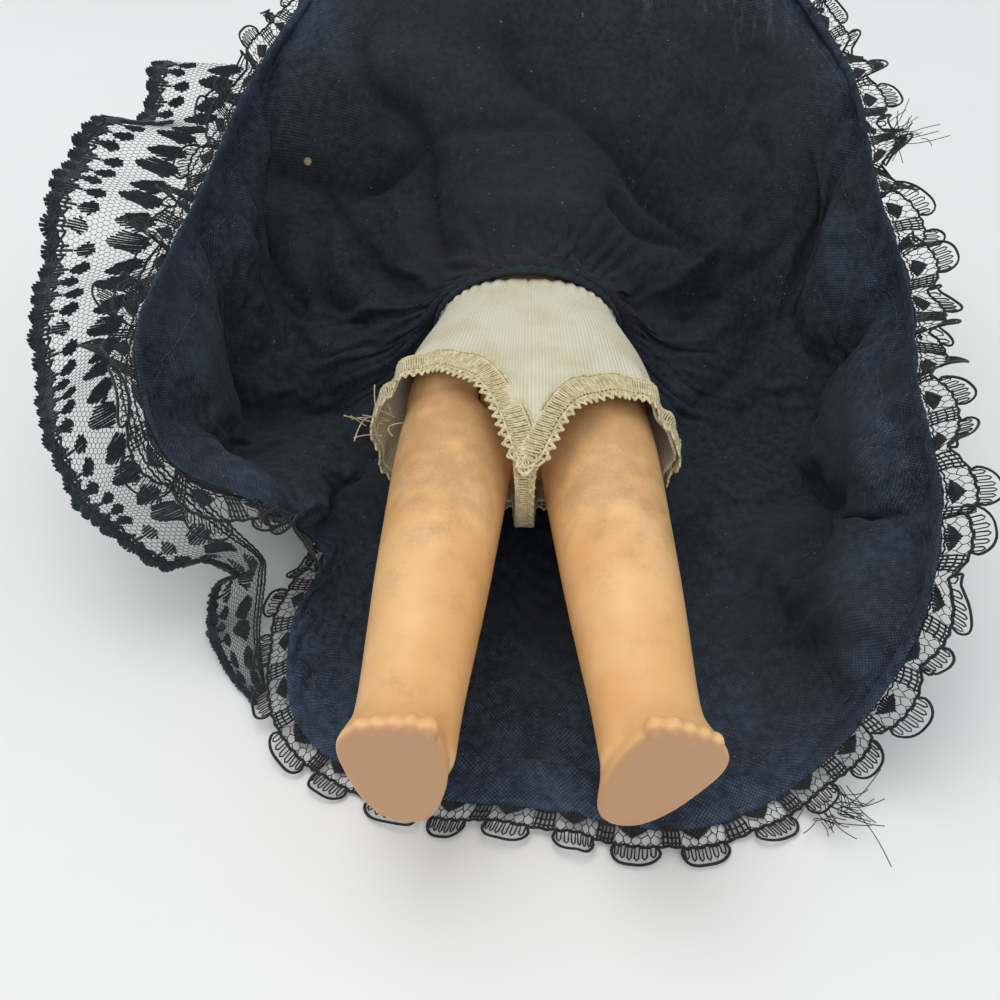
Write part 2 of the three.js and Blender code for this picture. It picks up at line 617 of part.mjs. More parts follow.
// Raised and sunk places of the face, in millimetres, by direction from the middle of the head.
function faceRelief(way) {
  const places = [
    { at: [0, -0.16, 0.98], height: 2.2, spread: 0.15 }, // nose
    { at: [0.48, -0.3, 0.82], height: 1.1, spread: 0.3 }, // cheeks
    { at: [-0.48, -0.3, 0.82], height: 1.1, spread: 0.3 },
    { at: [0, -0.68, 0.73], height: 1.3, spread: 0.2 }, // chin
    { at: [0, -0.42, 0.9], height: 0.8, spread: 0.13 }, // lips
    { at: [0.4, 0.06, 0.91], height: -1.2, spread: 0.2 }, // eye hollows
    { at: [-0.4, 0.06, 0.91], height: -1.2, spread: 0.2 },
  ];
  return places.reduce((sum, { at, height, spread }) => {
    const apart = way.distanceTo(new THREE.Vector3(...at));
    return sum + height * Math.exp(-((apart / spread) ** 2));
  }, 0);
}

const eyeCentre = (side) =>
  new THREE.Vector3(side * EYE_APART, HEAD_Y + EYE_RISE, BODY_Z + EYE_FORWARD);

function headShell() {
  const neckTop = HEAD_Y - 0.7 * HEAD_HALF_HEIGHT;
  const neckBall = new THREE.Vector3(0, neckBallY(), BODY_Z);
  const neck = join(
    ball(neckBall, NECK_RADIUS),
    bar(neckBall, new THREE.Vector3(0, neckTop, BODY_Z), NECK_RADIUS, JOINT_FACETS),
  );
  const bore = bar(
    new THREE.Vector3(0, TORSO_TOP_Y - HEAD_HOOK_DROP, BODY_Z),
    new THREE.Vector3(0, HEAD_Y, BODY_Z),
    NECK_BORE,
    12,
  );
  let shell = join(headForm(), neck).subtract(headForm(-HEAD_WALL, false)).subtract(bore);
  for (const side of Object.values(SIDES)) {
    const centre = eyeCentre(side);
    const slit = new THREE.CylinderGeometry(1, 1, FAR, 16)
      .rotateX(Math.PI / 2)
      .scale(EYE_SLIT.halfWidth, EYE_SLIT.halfHeight, 1)
      .translate(centre.x, centre.y, centre.z + FAR / 2);
    shell = shell.subtract(solid(slit)).subtract(ball(centre, EYE_RADIUS + FIT));
  }
  return shell;
}

// Wire hook with a cross bar that rests on the floor of the head; its ring hangs in the torso.
function headHook() {
  const floorY = HEAD_Y - HEAD_HALF_HEIGHT + HEAD_WALL + WIRE_RADIUS + 4 * FIT;
  const ringY = TORSO_TOP_Y - HEAD_HOOK_DROP;
  const half = NECK_BORE + 1.6;
  const ring = new THREE.TorusGeometry(RING_RADIUS, WIRE_RADIUS, WIRE_FACETS, 10).rotateY(Math.PI / 2);
  return join(
    bar(new THREE.Vector3(-half, floorY, BODY_Z), new THREE.Vector3(half, floorY, BODY_Z), WIRE_RADIUS),
    bar(
      new THREE.Vector3(0, floorY, BODY_Z),
      new THREE.Vector3(0, ringY + RING_RADIUS, BODY_Z),
      WIRE_RADIUS,
    ),
    solid(ring.translate(0, ringY, BODY_Z)),
  );
}

// Bracket glued behind the forehead, with two lugs that the eye axle turns in.
function eyeBracket() {
  const { y, z } = eyeCentre(1);
  const half = EYE_APART - EYE_RADIUS - 2 * FIT;
  const lug = 1;
  const strap = block(new THREE.Vector3(-half, y + 2.4, z - 1.4), new THREE.Vector3(half, HEAD_Y + FAR, z + FAR));
  const top = HEAD_Y + 0.62 * HEAD_HALF_HEIGHT;
  let bracket = strap.intersect(slab(y, top));
  for (const side of Object.values(SIDES)) {
    const [near, far] = [side * (half - lug), side * half];
    const low = new THREE.Vector3(Math.min(near, far), y - 1.8, z - 1.4);
    bracket = bracket.add(block(low, new THREE.Vector3(Math.max(near, far), y + 2.5, z + 1.8)));
  }
  const axleHole = bar(new THREE.Vector3(-half - 1, y, z), new THREE.Vector3(half + 1, y, z), WIRE_RADIUS + 2 * FIT);
  return bracket.subtract(axleHole).intersect(headForm(-HEAD_WALL - FIT, false));
}

// Axle between the eyes, with the arm that carries the counterweight.
function eyeRocker() {
  const { y, z } = eyeCentre(1);
  const half = EYE_APART - EYE_RADIUS - FIT;
  const middle = new THREE.Vector3(0, y, z);
  return join(
    bar(new THREE.Vector3(-half, y, z), new THREE.Vector3(half, y, z), WIRE_RADIUS + FIT),
    bar(middle, middle.clone().addScaledVector(weightWay(), WEIGHT_ARM), WIRE_RADIUS),
  );
}

function weightWay() {
  const tilt = THREE.MathUtils.degToRad(WEIGHT_TILT);
  return new THREE.Vector3(0, -Math.sin(tilt), -Math.cos(tilt));
}

function eyeWeight() {
  const { y, z } = eyeCentre(1);
  const reach = WEIGHT_ARM + FIT + WEIGHT_RADIUS;
  const centre = new THREE.Vector3(0, y, z).addScaledVector(weightWay(), reach);
  return ball(centre, WEIGHT_RADIUS, [1.2, 1, 1], 12, 8);
}

// Hair combed back from an oval face opening, and the bun behind the crown.
function wig() {
  const faceOpening = new THREE.CylinderGeometry(1, 1, FAR, 24)
    .rotateX(Math.PI / 2)
    .scale(0.82 * HEAD_HALF_WIDTH, 0.86 * HEAD_HALF_HEIGHT, 1)
    .translate(0, HEAD_Y - 0.26 * HEAD_HALF_HEIGHT, BODY_Z + FAR / 2 + 1);
  const nape = slab(HEAD_Y - FAR, HEAD_Y - 0.72 * HEAD_HALF_HEIGHT);
  return headForm(HAIR_THICKNESS + FIT, false)
    .subtract(headForm(FIT, false))
    .subtract(solid(faceOpening))
    .subtract(nape);
}

function hairBun() {
  const way = new THREE.Vector3(0, 0.93, -0.36).normalize();
  const centre = HEAD_CENTRE.clone().addScaledVector(way, HEAD_HALF_HEIGHT + 0.35 * BUN_RADIUS);
  return ball(centre, BUN_RADIUS, [1.15, 0.8, 0.95], 14, 9).subtract(
    headForm(HAIR_THICKNESS + 2 * FIT, false),
  );
}

// Elastic that pulls the limbs into the torso

function armElastic() {
  const ringX = SHOULDER_FLAT + FIT - HOOK_REACH;
  const half = [
    new THREE.Vector3(ringX, SHOULDER_Y, BODY_Z - 2.2),
    new THREE.Vector3(ringX, SHOULDER_Y, BODY_Z + 1),
    new THREE.Vector3(0.5 * ringX, SHOULDER_Y, BODY_Z + 3.6),
  ];
  const mirrored = half.map((p) => new THREE.Vector3(-p.x, p.y, p.z)).reverse();
  return cord([...half, new THREE.Vector3(0, SHOULDER_Y, BODY_Z + 4), ...mirrored], ELASTIC_RADIUS, 14);
}

function bodyElastic() {
  const ringX = HIP_FLAT + FIT - HOOK_REACH;
  const ringY = TORSO_TOP_Y - HEAD_HOOK_DROP;
  const half = [
    new THREE.Vector3(ringX, HIP_Y, BODY_Z + 2.2),
    new THREE.Vector3(ringX, HIP_Y, BODY_Z - 1.4),
    new THREE.Vector3(ringX, HIP_Y + 5, BODY_Z - 3),
    new THREE.Vector3(0.75 * ringX, (HIP_Y + ringY) / 2, BODY_Z - 1.5),
    new THREE.Vector3(0.55 * ringX, ringY - 3, BODY_Z),
  ];
  const mirrored = half.map((p) => new THREE.Vector3(-p.x, p.y, p.z)).reverse();
  return cord([...half, new THREE.Vector3(0, ringY, BODY_Z), ...mirrored], ELASTIC_RADIUS, 26);
}

// Bodice, waistband and knickers

function bodice() {
  let cloth = torsoForm(BODICE_GROW + CLOTH)
    .subtract(torsoForm(BODICE_GROW))
    .intersect(slab(WAIST_Y + BAND_WIDTH / 2 + FIT, WAIST_Y + BODICE_TOP));
  for (const side of Object.values(SIDES)) {
    const armhole = [
      new THREE.Vector3(side * 0.4 * SHOULDER_FLAT, SHOULDER_Y, BODY_Z),
      new THREE.Vector3(side * FAR, SHOULDER_Y, BODY_Z),
    ];
    cloth = cloth.subtract(bar(...armhole, ARM_DISC_RADIUS + 1.4, JOINT_FACETS));
  }
  const neckline = ball(new THREE.Vector3(0, TORSO_TOP_Y + 3, BODY_Z + 4), 1.3 * NECK_HALF_WIDTH + 2);
  const backSlit = block(new THREE.Vector3(-FIT, -FAR, -FAR), new THREE.Vector3(FIT, FAR, BODY_Z));
  return cloth.subtract(neckline).subtract(backSlit);
}

// Press stud across the bodice's back opening.
function backSnap(rise) {
  const y = WAIST_Y + rise;
  const disc = bar(new THREE.Vector3(0, y, BODY_Z), new THREE.Vector3(0, y, -FAR), 1.9, 16);
  const grow = BODICE_GROW + CLOTH + FIT;
  return disc.intersect(torsoForm(grow + 0.9)).subtract(torsoForm(grow));
}

function waistband() {
  return torsoForm(BAND_OUTSIDE)
    .subtract(torsoForm(BAND_GROW))
    .intersect(slab(WAIST_Y - BAND_WIDTH / 2, WAIST_Y + BAND_WIDTH / 2));
}

// Outside of the knickers' hips and of the two loose leg cuffs, grown by one distance.
function knickersForm(grow) {
  const top = WAIST_Y - BAND_WIDTH / 2 - FIT;
  const hipWidth = HIP_FLAT + FIT + HIP_DISC_REACH;
  const stations = [
    [HIP_Y - HIP_DISC_RADIUS - 2 * FIT, 0.3 * hipWidth, 0.6 * HIP_HALF_DEPTH],
    [HIP_Y - 0.75 * HIP_DISC_RADIUS, 0.75 * hipWidth, HIP_HALF_DEPTH],
    [HIP_Y, hipWidth, HIP_HALF_DEPTH + 0.6],
    [HIP_Y + HIP_DISC_RADIUS, HIP_HALF_WIDTH + 2.6, HIP_HALF_DEPTH + 0.4],
    [top, WAIST_HALF_WIDTH + 1, WAIST_HALF_DEPTH + 0.6],
  ];
  const rings = smoothStations(stations, 8).map((p, i) => {
    const y = i === 0 ? p.x - grow : p.x;
    return ovalRing(y, p.y + grow, p.z + grow, BODY_FACETS, 0, BODY_Z);
  });
  const cuffs = Object.values(SIDES).map((side) => knickersCuff(side, grow - KNICKERS_EASE));
  return join(skin(rings), ...cuffs);
}

function knickersCuff(side, grow) {
  const halfWidth = (KNICKERS_CUFF_REACH - GUSSET_HALF_WIDTH) / 2;
  const middleX = side * (KNICKERS_CUFF_REACH + GUSSET_HALF_WIDTH) / 2;
  const levels = [
    { y: HIP_Y + HIP_DISC_RADIUS + 4, size: 0.5 },
    { y: HIP_Y + 0.6 * HIP_DISC_RADIUS, size: 0.97 },
    { y: HIP_Y - 8, size: 1 },
    { y: HIP_Y - 22, size: 1.04 },
  ];
  const rings = levels.map(({ y, size }) => {
    const [width, depth] = [halfWidth * size + grow, KNICKERS_CUFF_HALF_DEPTH * size + grow];
    return ovalRing(y, width, depth, BODY_FACETS, middleX, BODY_Z);
  });
  return skin(rings);
}

// Cutting block below an arched leg opening, high over the front of the thigh and low behind it.
// The arch can be raised, and then it also reaches further in over the gusset.
function legOpening(side, rise) {
  const inner = GUSSET_HALF_WIDTH + 2 * FIT - 0.4 * rise;
  const peakX = LEG_HIP_X + 3;
  const outer = KNICKERS_CUFF_REACH + 6;
  const halves = [
    { peak: HIP_Y - 6 + rise, from: BODY_Z },
    { peak: HIP_Y - 15 + rise, from: BODY_Z - FAR },
  ];
  const cuts = halves.map(({ peak, from }) => {
    const arch = new THREE.Shape();
    arch.moveTo(side * inner, -FAR);
    arch.lineTo(side * inner, HIP_Y - 20 + rise);
    arch.quadraticCurveTo(side * (inner + 4), peak, side * peakX, peak);
    arch.quadraticCurveTo(side * (outer - 4), peak, side * outer, HIP_Y - 12 + rise);
    arch.lineTo(side * outer, -FAR);
    arch.closePath();
    const options = { depth: FAR, bevelEnabled: false, curveSegments: 5 };
    return solid(new THREE.ExtrudeGeometry(arch, options).translate(0, 0, from));
  });
  return join(...cuts);
}

function knickers() {
  const top = WAIST_Y - BAND_WIDTH / 2 - FIT;
  const edge = LEG_LACE_WIDTH - LEG_LACE_LAP;
  return knickersForm(KNICKERS_EASE + CLOTH)
    .subtract(knickersForm(KNICKERS_EASE))
    .subtract(slab(top, FAR))
    .subtract(legOpening(SIDES.left, edge))
    .subtract(legOpening(SIDES.right, edge));
}

// Elastic in the top of the knickers.
function knickersElastic() {
  const top = WAIST_Y - BAND_WIDTH / 2 - FIT;
  return torsoForm(FIT + 0.6)
    .subtract(torsoForm(FIT))
    .intersect(slab(top - 3, top));
}

// Lace sewn round a leg opening, on the outside of the knickers.
function legLace(side) {
  const grow = KNICKERS_EASE + CLOTH + FIT;
  const half = block(
    new THREE.Vector3(side > 0 ? FIT : -FAR, -FAR, -FAR),
    new THREE.Vector3(side > 0 ? FAR : -FIT, FAR, FAR),
  );
  return knickersForm(grow + LEG_LACE_THICKNESS)
    .subtract(knickersForm(grow))
    .intersect(legOpening(side, LEG_LACE_WIDTH))
    .subtract(legOpening(side, 0))
    .intersect(half);
}

// Skirt: gathered into the waistband, spread open like a bowl, its front thrown up over the body.
// Each station gives the hem and the place that the cloth bellies towards on its way there,
// as shares of the skirt's half width, reach and rise.
const SKIRT_STATIONS = [
  { hem: [0.015, -0.405, 0.011], belly: [0, 0.04, -0.064] }, // under the legs, flat on the table
  { hem: [0.354, -0.417, 0.011], belly: [0.246, 0.024, -0.064] },
  { hem: [0.692, -0.333, 0.043], belly: [0.554, 0.016, -0.064] },
  { hem: [0.831, -0.278, 0.213], belly: [0.769, 0.016, -0.096] }, // left side, turning up off the table
  { hem: [0.923, -0.127, 0.346], belly: [0.923, 0.063, -0.128] },
  { hem: [0.954, 0.063, 0.404], belly: [1.015, 0.175, -0.17] },
  { hem: [1, 0.286, 0.447], belly: [1.108, 0.302, -0.149] },
  { hem: [1, 0.556, 0.532], belly: [1.015, 0.46, -0.043] },
  { hem: [0.954, 0.81, 0.649], belly: [0.738, 0.635, 0.213] },
  { hem: [0.585, 0.96, 0.883], belly: [0.369, 0.683, 0.447] },
  { hem: [-0.046, 1, 1], belly: [0, 0.698, 0.511] }, // front, standing over the head
  { hem: [-0.523, 0.952, 0.872], belly: [-0.369, 0.683, 0.447] },
  { hem: [-0.8, 0.857, 0.681], belly: [-0.677, 0.619, 0.234] },
  { hem: [-0.938, 0.651, 0.596], belly: [-0.985, 0.508, 0] },
  { hem: [-0.962, 0.444, 0.532], belly: [-1.108, 0.365, -0.128] },
  { hem: [-1, 0.214, 0.505], belly: [-1.138, 0.238, -0.191] }, // right side
  { hem: [-0.962, 0.008, 0.479], belly: [-1.046, 0.143, -0.149] },
  { hem: [-0.877, -0.095, 0.362], belly: [-0.892, 0.095, -0.085] },
  { hem: [-0.723, -0.075, 0.255], belly: [-0.754, 0.095, -0.064] },
  { hem: [-0.608, -0.02, 0.117], belly: [-0.662, 0.099, -0.032] }, // deep fold where the wall meets the table
  { hem: [-0.569, -0.02, 0.059], belly: [-0.508, 0.095, -0.021] },
  { hem: [-0.592, -0.063, 0.043], belly: [-0.415, 0.063, -0.043] },
  { hem: [-0.631, -0.143, 0.037], belly: [-0.385, 0.04, -0.053] },
  { hem: [-0.569, -0.294, 0.021], belly: [-0.338, 0.032, -0.064] },
  { hem: [-0.292, -0.377, 0.013], belly: [-0.2, 0.04, -0.064] },
];

function skirtPlace([across, along, up]) {
  return new THREE.Vector3(across * SKIRT_HALF_WIDTH + SKIRT_SHIFT, along * SKIRT_REACH, up * SKIRT_RISE);
}

const hemCurve = new THREE.CatmullRomCurve3(
  SKIRT_STATIONS.map(({ hem }) => skirtPlace(hem)),
  true,
  "centripetal",
);
const bellyCurve = new THREE.CatmullRomCurve3(
  SKIRT_STATIONS.map(({ belly }) => skirtPlace(belly)),
  true,
  "centripetal",
);

// Lines of the creases between the puffs of cloth, each a list of [u, v] on the skirt.
const SKIRT_CREASES = [
  [[0.565, 0.72], [0.565, 0.61], [0.556, 0.52], [0.552, 0.42], [0.56, 0.3], [0.572, 0.19], [0.59, 0.1]],
  [[0.618, 0.69], [0.6, 0.54], [0.582, 0.45], [0.565, 0.425]],
  [[0.602, 0.55], [0.602, 0.36], [0.615, 0.18], [0.642, 0.08]],
  [[0.602, 0.54], [0.612, 0.45], [0.63, 0.38], [0.65, 0.2]],
  [[0.712, 0.8], [0.718, 0.7], [0.722, 0.55], [0.73, 0.39], [0.74, 0.26], [0.76, 0.21]],
  [[0.465, 0.43], [0.438, 0.36], [0.405, 0.31], [0.37, 0.32], [0.352, 0.34], [0.334, 0.25], [0.33, 0.1]],
  [[0.503, 0.59], [0.5, 0.51], [0.47, 0.43]],
  [[0.385, 0.1], [0.36, 0.1], [0.335, 0.14], [0.32, 0.2]],
  [[0.3, 0.36], [0.27, 0.26], [0.238, 0.19], [0.173, 0.15]],
];

// A point of the skirt: u goes once round from under the legs by way of the doll's left, v from waist to hem.
function skirtSurface(u, v) {
  const round = ((u % 1) + 1) % 1;
  const t = hemCurve.getUtoTmapping(round);
  const [hem, belly] = [hemCurve.getPoint(t), bellyCurve.getPoint(t)];
  const angle = (round - 0.25) * Math.PI * 2;
  const off = BAND_OUTSIDE + FIT + SKIRT_THICKNESS / 2;
  const waist = new THREE.Vector3(
    (WAIST_HALF_WIDTH + off) * Math.cos(angle),
    WAIST_Y,
    BODY_Z + (WAIST_HALF_DEPTH + off) * Math.sin(angle),
  );
  const point = waist
    .multiplyScalar((1 - v) ** 2)
    .addScaledVector(belly, 2 * v * (1 - v))
    .addScaledVector(hem, v ** 2);
  const fold = FOLD_DEPTH * Math.sin(v * Math.PI * 0.8) * Math.sin(angle * FOLDS + 3 * v);
  const away = new THREE.Vector3(Math.cos(angle), -0.6, Math.sin(angle)).normalize();
  point.addScaledVector(away, fold);
  point.z = Math.max(point.z, SKIRT_THICKNESS / 2);
  return point;
}

// The skirt with its puffs, which rise towards the inside of the bowl and are free of waist, hem and table.
function skirt() {
  const creases = SKIRT_CREASES.map((line) =>
    new THREE.CatmullRomCurve3(line.map(([u, v]) => skirtSurface(u, v))).getPoints(16),
  );
  const rise = THREE.MathUtils.smoothstep;
  const puffed = (u, v) => {
    const point = skirtSurface(u, v);
    const apart = Math.min(...creases.flat().map((p) => p.distanceTo(point)));
    const crease = Math.exp(-((apart / CREASE_WIDTH) ** 2));
    const free = rise(v, 0.06, 0.2) * (1 - rise(v, 0.84, 0.97)) * rise(point.z, 2, 12);
    const step = 1e-3;
    const alongU = skirtSurface(u + step, v).sub(skirtSurface(u - step, v));
    const alongV = skirtSurface(u, v + step).sub(skirtSurface(u, v - step));
    const inwards = alongV.cross(alongU).normalize();
    return point.addScaledVector(inwards, PUFF * free * (1 - crease));
  };
  return sheet(puffed, 68, 8, SKIRT_THICKNESS, true);
}

// Narrow scalloped lace that carries the skirt on past its hem and turns outwards there.
// It is bunched together where the hem makes a sharp fold.
function hemLace() {
  const strip = (u, v) => {
    const edge = skirtSurface(u, 1);
    const along = edge.clone().sub(skirtSurface(u, 0.93)).normalize();
    const hemwards = skirtSurface(u + 0.01, 1).sub(skirtSurface(u - 0.01, 1));
    const outwards = new THREE.Vector3(hemwards.y, -hemwards.x, 0).normalize();
    const way = outwards.addScaledVector(along, 0.35).normalize();
    const bunched = Math.min(1, hemwards.length() / (0.02 * hemCurve.getLength())) ** 2;
    const scallop = 0.75 + 0.25 * Math.abs(Math.sin(u * HEM_SCALLOPS * Math.PI));
    const start = SKIRT_THICKNESS / 2 + FIT + 2 * (1 - bunched);
    const reach = start + v * HEM_LACE_WIDTH * scallop * bunched;
    const point = edge.addScaledVector(way, reach);
    point.z = Math.max(point.z, HEM_LACE_THICKNESS / 2);
    return point;
  };
  return sheet(strip, 2 * HEM_SCALLOPS, 1, HEM_LACE_THICKNESS, true);
}

// Wide lace flounce on the doll's right side: sewn on outside the hem, its edge standing out,
// with a loose end that drops into the deep fold and comes out again on the table.
const FLOUNCE_SEWN = { from: 0.615, to: 0.815, seam: 0.955 }; // shares of the way round, and down to the hem
const FLOUNCE_EDGE = [
  [-1.292, 0.754, 0.596],
  [-1.292, 0.611, 0.553],
  [-1.415, 0.524, 0.564],
  [-1.423, 0.373, 0.516],
  [-1.385, 0.206, 0.436],
  [-1.315, 0.06, 0.362],
  [-1.215, -0.048, 0.282],
  [-1.077, -0.111, 0.197],
];
const FLOUNCE_LOOSE = [
  { header: [-0.738, -0.09, 0.191], edge: [-0.915, -0.115, 0.138] },
  { header: [-0.7, -0.087, 0.133], edge: [-0.785, -0.097, 0.112] },
  { header: [-0.708, -0.077, 0.074], edge: [-0.877, -0.098, 0.021] },
  { header: [-0.708, -0.145, 0.027], edge: [-0.831, -0.175, 0.016] },
  { header: [-0.665, -0.238, 0.016], edge: [-0.685, -0.262, 0.013] },
];

// A point of the flounce's header, just off the outside of the skirt.
function sewnPoint(u) {
  const { seam } = FLOUNCE_SEWN;
  const step = 1e-3;
  const alongU = skirtSurface(u + step, seam).sub(skirtSurface(u - step, seam));
  const alongV = skirtSurface(u, seam + step).sub(skirtSurface(u, seam - step));
  const off = SKIRT_THICKNESS / 2 + FIT + FLOUNCE_THICKNESS / 2;
  return skirtSurface(u, seam).addScaledVector(alongU.cross(alongV).normalize(), off);
}

function flounce() {
  const edges = [...FLOUNCE_EDGE, ...FLOUNCE_LOOSE.map((station) => station.edge)];
  const edge = new THREE.CatmullRomCurve3(edges.map(skirtPlace));
  const loose = new THREE.CatmullRomCurve3([
    sewnPoint(FLOUNCE_SEWN.to),
    ...FLOUNCE_LOOSE.map((station) => skirtPlace(station.header)),
  ]);
  const sewnShare = (FLOUNCE_EDGE.length - 1) / (FLOUNCE_EDGE.length - 1 + FLOUNCE_LOOSE.length);
  const header = (t) =>
    t < sewnShare
      ? sewnPoint(THREE.MathUtils.lerp(FLOUNCE_SEWN.from, FLOUNCE_SEWN.to, t / sewnShare))
      : loose.getPoint((t - sewnShare) / (1 - sewnShare));
  const ruffles = 9;
  const strip = (u, v) => {
    const t = THREE.MathUtils.clamp(u, 0, 1);
    const point = header(t).lerp(edge.getPoint(t), v);
    point.z = Math.max(point.z + v * 1.6 * Math.sin(t * ruffles * Math.PI * 2), FLOUNCE_THICKNESS);
    return point;
  };
  return sheet(strip, 40, 2, FLOUNCE_THICKNESS, false);
}

// Putting the doll together

function group(at = new THREE.Vector3()) {
  const made = new THREE.Group();
  made.position.copy(at);
  return made;
}

function piece(name, made, material) {
  const mesh = new THREE.Mesh(geometryOf(made), material);
  mesh.name = name;
  return mesh;
}

const doll = group();

const torso = torsoShell();
doll.add(piece("torso_front", torso.intersect(frontHalf()), FINISHES.flesh));
doll.add(piece("torso_back", torso.intersect(backHalf()), FINISHES.flesh));
doll.add(piece("arm_elastic", armElastic(), FINISHES.rubber));
doll.add(piece("body_elastic", bodyElastic(), FINISHES.rubber));

for (const name of Object.keys(SIDES)) {
  doll.add(leg(name));
  doll.add(arm(name));
}

const head = headShell();
doll.add(piece("head_front", head.intersect(frontHalf()), FINISHES.flesh));
doll.add(piece("head_back", head.intersect(backHalf()), FINISHES.flesh));
doll.add(piece("head_hook", headHook(), FINISHES.steel));
doll.add(piece("wig", wig(), FINISHES.hair));
doll.add(piece("hair_bun", hairBun(), FINISHES.hair));
doll.add(piece("eye_bracket", eyeBracket(), FINISHES.steel));
for (const [name, side] of Object.entries(SIDES)) {
  doll.add(piece(`eye_${name}`, ball(eyeCentre(side), EYE_RADIUS), FINISHES.eye));
}
doll.add(piece("eye_rocker", eyeRocker(), FINISHES.steel));
doll.add(piece("eye_weight", eyeWeight(), FINISHES.lead));

doll.add(piece("bodice", bodice(), FINISHES.black));
doll.add(piece("back_snap_upper", backSnap(0.62 * BODICE_TOP), FINISHES.steel));
doll.add(piece("back_snap_lower", backSnap(0.25 * BODICE_TOP), FINISHES.steel));
doll.add(piece("waistband", waistband(), FINISHES.black));
doll.add(piece("knickers", knickers(), FINISHES.knit));
doll.add(piece("knickers_elastic", knickersElastic(), FINISHES.rubber));
for (const [name, side] of Object.entries(SIDES)) {
  doll.add(piece(`leg_lace_${name}`, legLace(side), FINISHES.creamLace));
}
doll.add(piece("skirt", skirt(), FINISHES.black));
doll.add(piece("hem_lace", hemLace(), FINISHES.lace));
doll.add(piece("lace_flounce", flounce(), FINISHES.lace));

export default doll;
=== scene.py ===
# Costume doll in dancer's dress, lying on its back with the skirt thrown open.
# Works in millimetres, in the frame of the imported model; makeMesh turns them into metres.
import json
import math
import bmesh
import bpy
import numpy as np
from mathutils import Matrix, Vector, noise


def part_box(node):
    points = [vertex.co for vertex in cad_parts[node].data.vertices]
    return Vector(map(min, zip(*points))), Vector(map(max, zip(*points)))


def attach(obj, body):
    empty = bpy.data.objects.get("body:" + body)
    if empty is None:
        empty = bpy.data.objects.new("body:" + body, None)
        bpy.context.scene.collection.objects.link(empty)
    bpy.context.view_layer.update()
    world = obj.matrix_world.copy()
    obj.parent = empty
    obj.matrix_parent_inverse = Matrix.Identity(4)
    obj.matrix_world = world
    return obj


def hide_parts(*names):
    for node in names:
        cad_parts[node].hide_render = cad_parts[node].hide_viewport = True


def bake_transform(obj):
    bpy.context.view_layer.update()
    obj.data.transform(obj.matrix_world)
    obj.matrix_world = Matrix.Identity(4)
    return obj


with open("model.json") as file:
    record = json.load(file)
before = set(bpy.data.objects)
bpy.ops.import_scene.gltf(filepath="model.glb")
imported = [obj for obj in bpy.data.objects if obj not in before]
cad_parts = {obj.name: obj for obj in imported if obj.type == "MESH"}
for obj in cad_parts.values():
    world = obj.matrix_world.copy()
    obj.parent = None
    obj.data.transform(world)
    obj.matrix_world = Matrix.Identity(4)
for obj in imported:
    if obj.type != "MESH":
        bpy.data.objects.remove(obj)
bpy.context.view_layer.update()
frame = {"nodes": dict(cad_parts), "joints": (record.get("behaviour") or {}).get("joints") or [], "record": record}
mm = 0.001
scene = bpy.context.scene
sides = {"left": 1, "right": -1}  # the doll's own sides, as signs of X
joints = {joint["name"]: np.array(joint["pos_m"]) / mm for joint in frame["joints"]}
bodyZ = joints["neck_turn"][2]
hipY = joints["left_hip"][1]
shoulderY = joints["left_shoulder"][1]
waistY = sum(np.array(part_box("waistband"))[:, 1]) / 2 / mm
headY = joints["eyes_open"][1] - 1.2  # the eyes turn a little above the middle of the head


# Curves and meshes

def spline(points, closed=False):
    pts = np.array(points, float)
    count = len(pts)

    def at(t):
        t = np.atleast_1d(np.asarray(t, float))
        if closed:
            along = (t % 1.0) * count
            first = np.floor(along).astype(int)
            p = [pts[(first + k) % count] for k in (-1, 0, 1, 2)]
        else:
            along = np.clip(t, 0, 1) * (count - 1)
            first = np.minimum(np.floor(along).astype(int), count - 2)
            longer = np.vstack([2 * pts[0] - pts[1], pts, 2 * pts[-1] - pts[-2]])
            p = [longer[first + k] for k in range(4)]
        w = (along - first)[:, None]
        gap = [np.maximum(np.linalg.norm(p[k + 1] - p[k], axis=1), 1e-4)[:, None] ** 0.5 for k in range(3)]
        a = ((p[1] - p[0]) / gap[0] - (p[2] - p[0]) / (gap[0] + gap[1]) + (p[2] - p[1]) / gap[1]) * gap[1]
        b = ((p[2] - p[1]) / gap[1] - (p[3] - p[1]) / (gap[1] + gap[2]) + (p[3] - p[2]) / gap[2]) * gap[1]
        return p[1] + a * w + (-3 * p[1] + 3 * p[2] - 2 * a - b) * w**2 + (2 * p[1] - 2 * p[2] + a + b) * w**3

    return at


def lengthAlong(points):
    steps = np.linalg.norm(np.diff(points, axis=0), axis=1)
    return np.concatenate([[0], np.cumsum(steps)])


def unit(vectors):
    return vectors / np.maximum(np.linalg.norm(vectors, axis=-1, keepdims=True), 1e-9)


def smoothStep(x, low, high):
    t = np.clip((x - low) / (high - low), 0, 1)
    return t * t * (3 - 2 * t)


def noiseAt(points, size, seed=0):
    shift = Vector((seed * 17.3, seed * 5.1, seed * 9.7))
    return np.array([noise.noise(Vector(p) / size + shift) for p in points])


def makeMesh(name, points, faces, material=None, edges=()):
    mesh = bpy.data.meshes.new(name)
    mesh.from_pydata((np.array(points, float) * mm).tolist(), list(edges), [list(f) for f in faces])
    mesh.update()
    obj = bpy.data.objects.new(name, mesh)
    scene.collection.objects.link(obj)
    if material:
        mesh.materials.append(material)
    mesh.shade_smooth()
    return obj


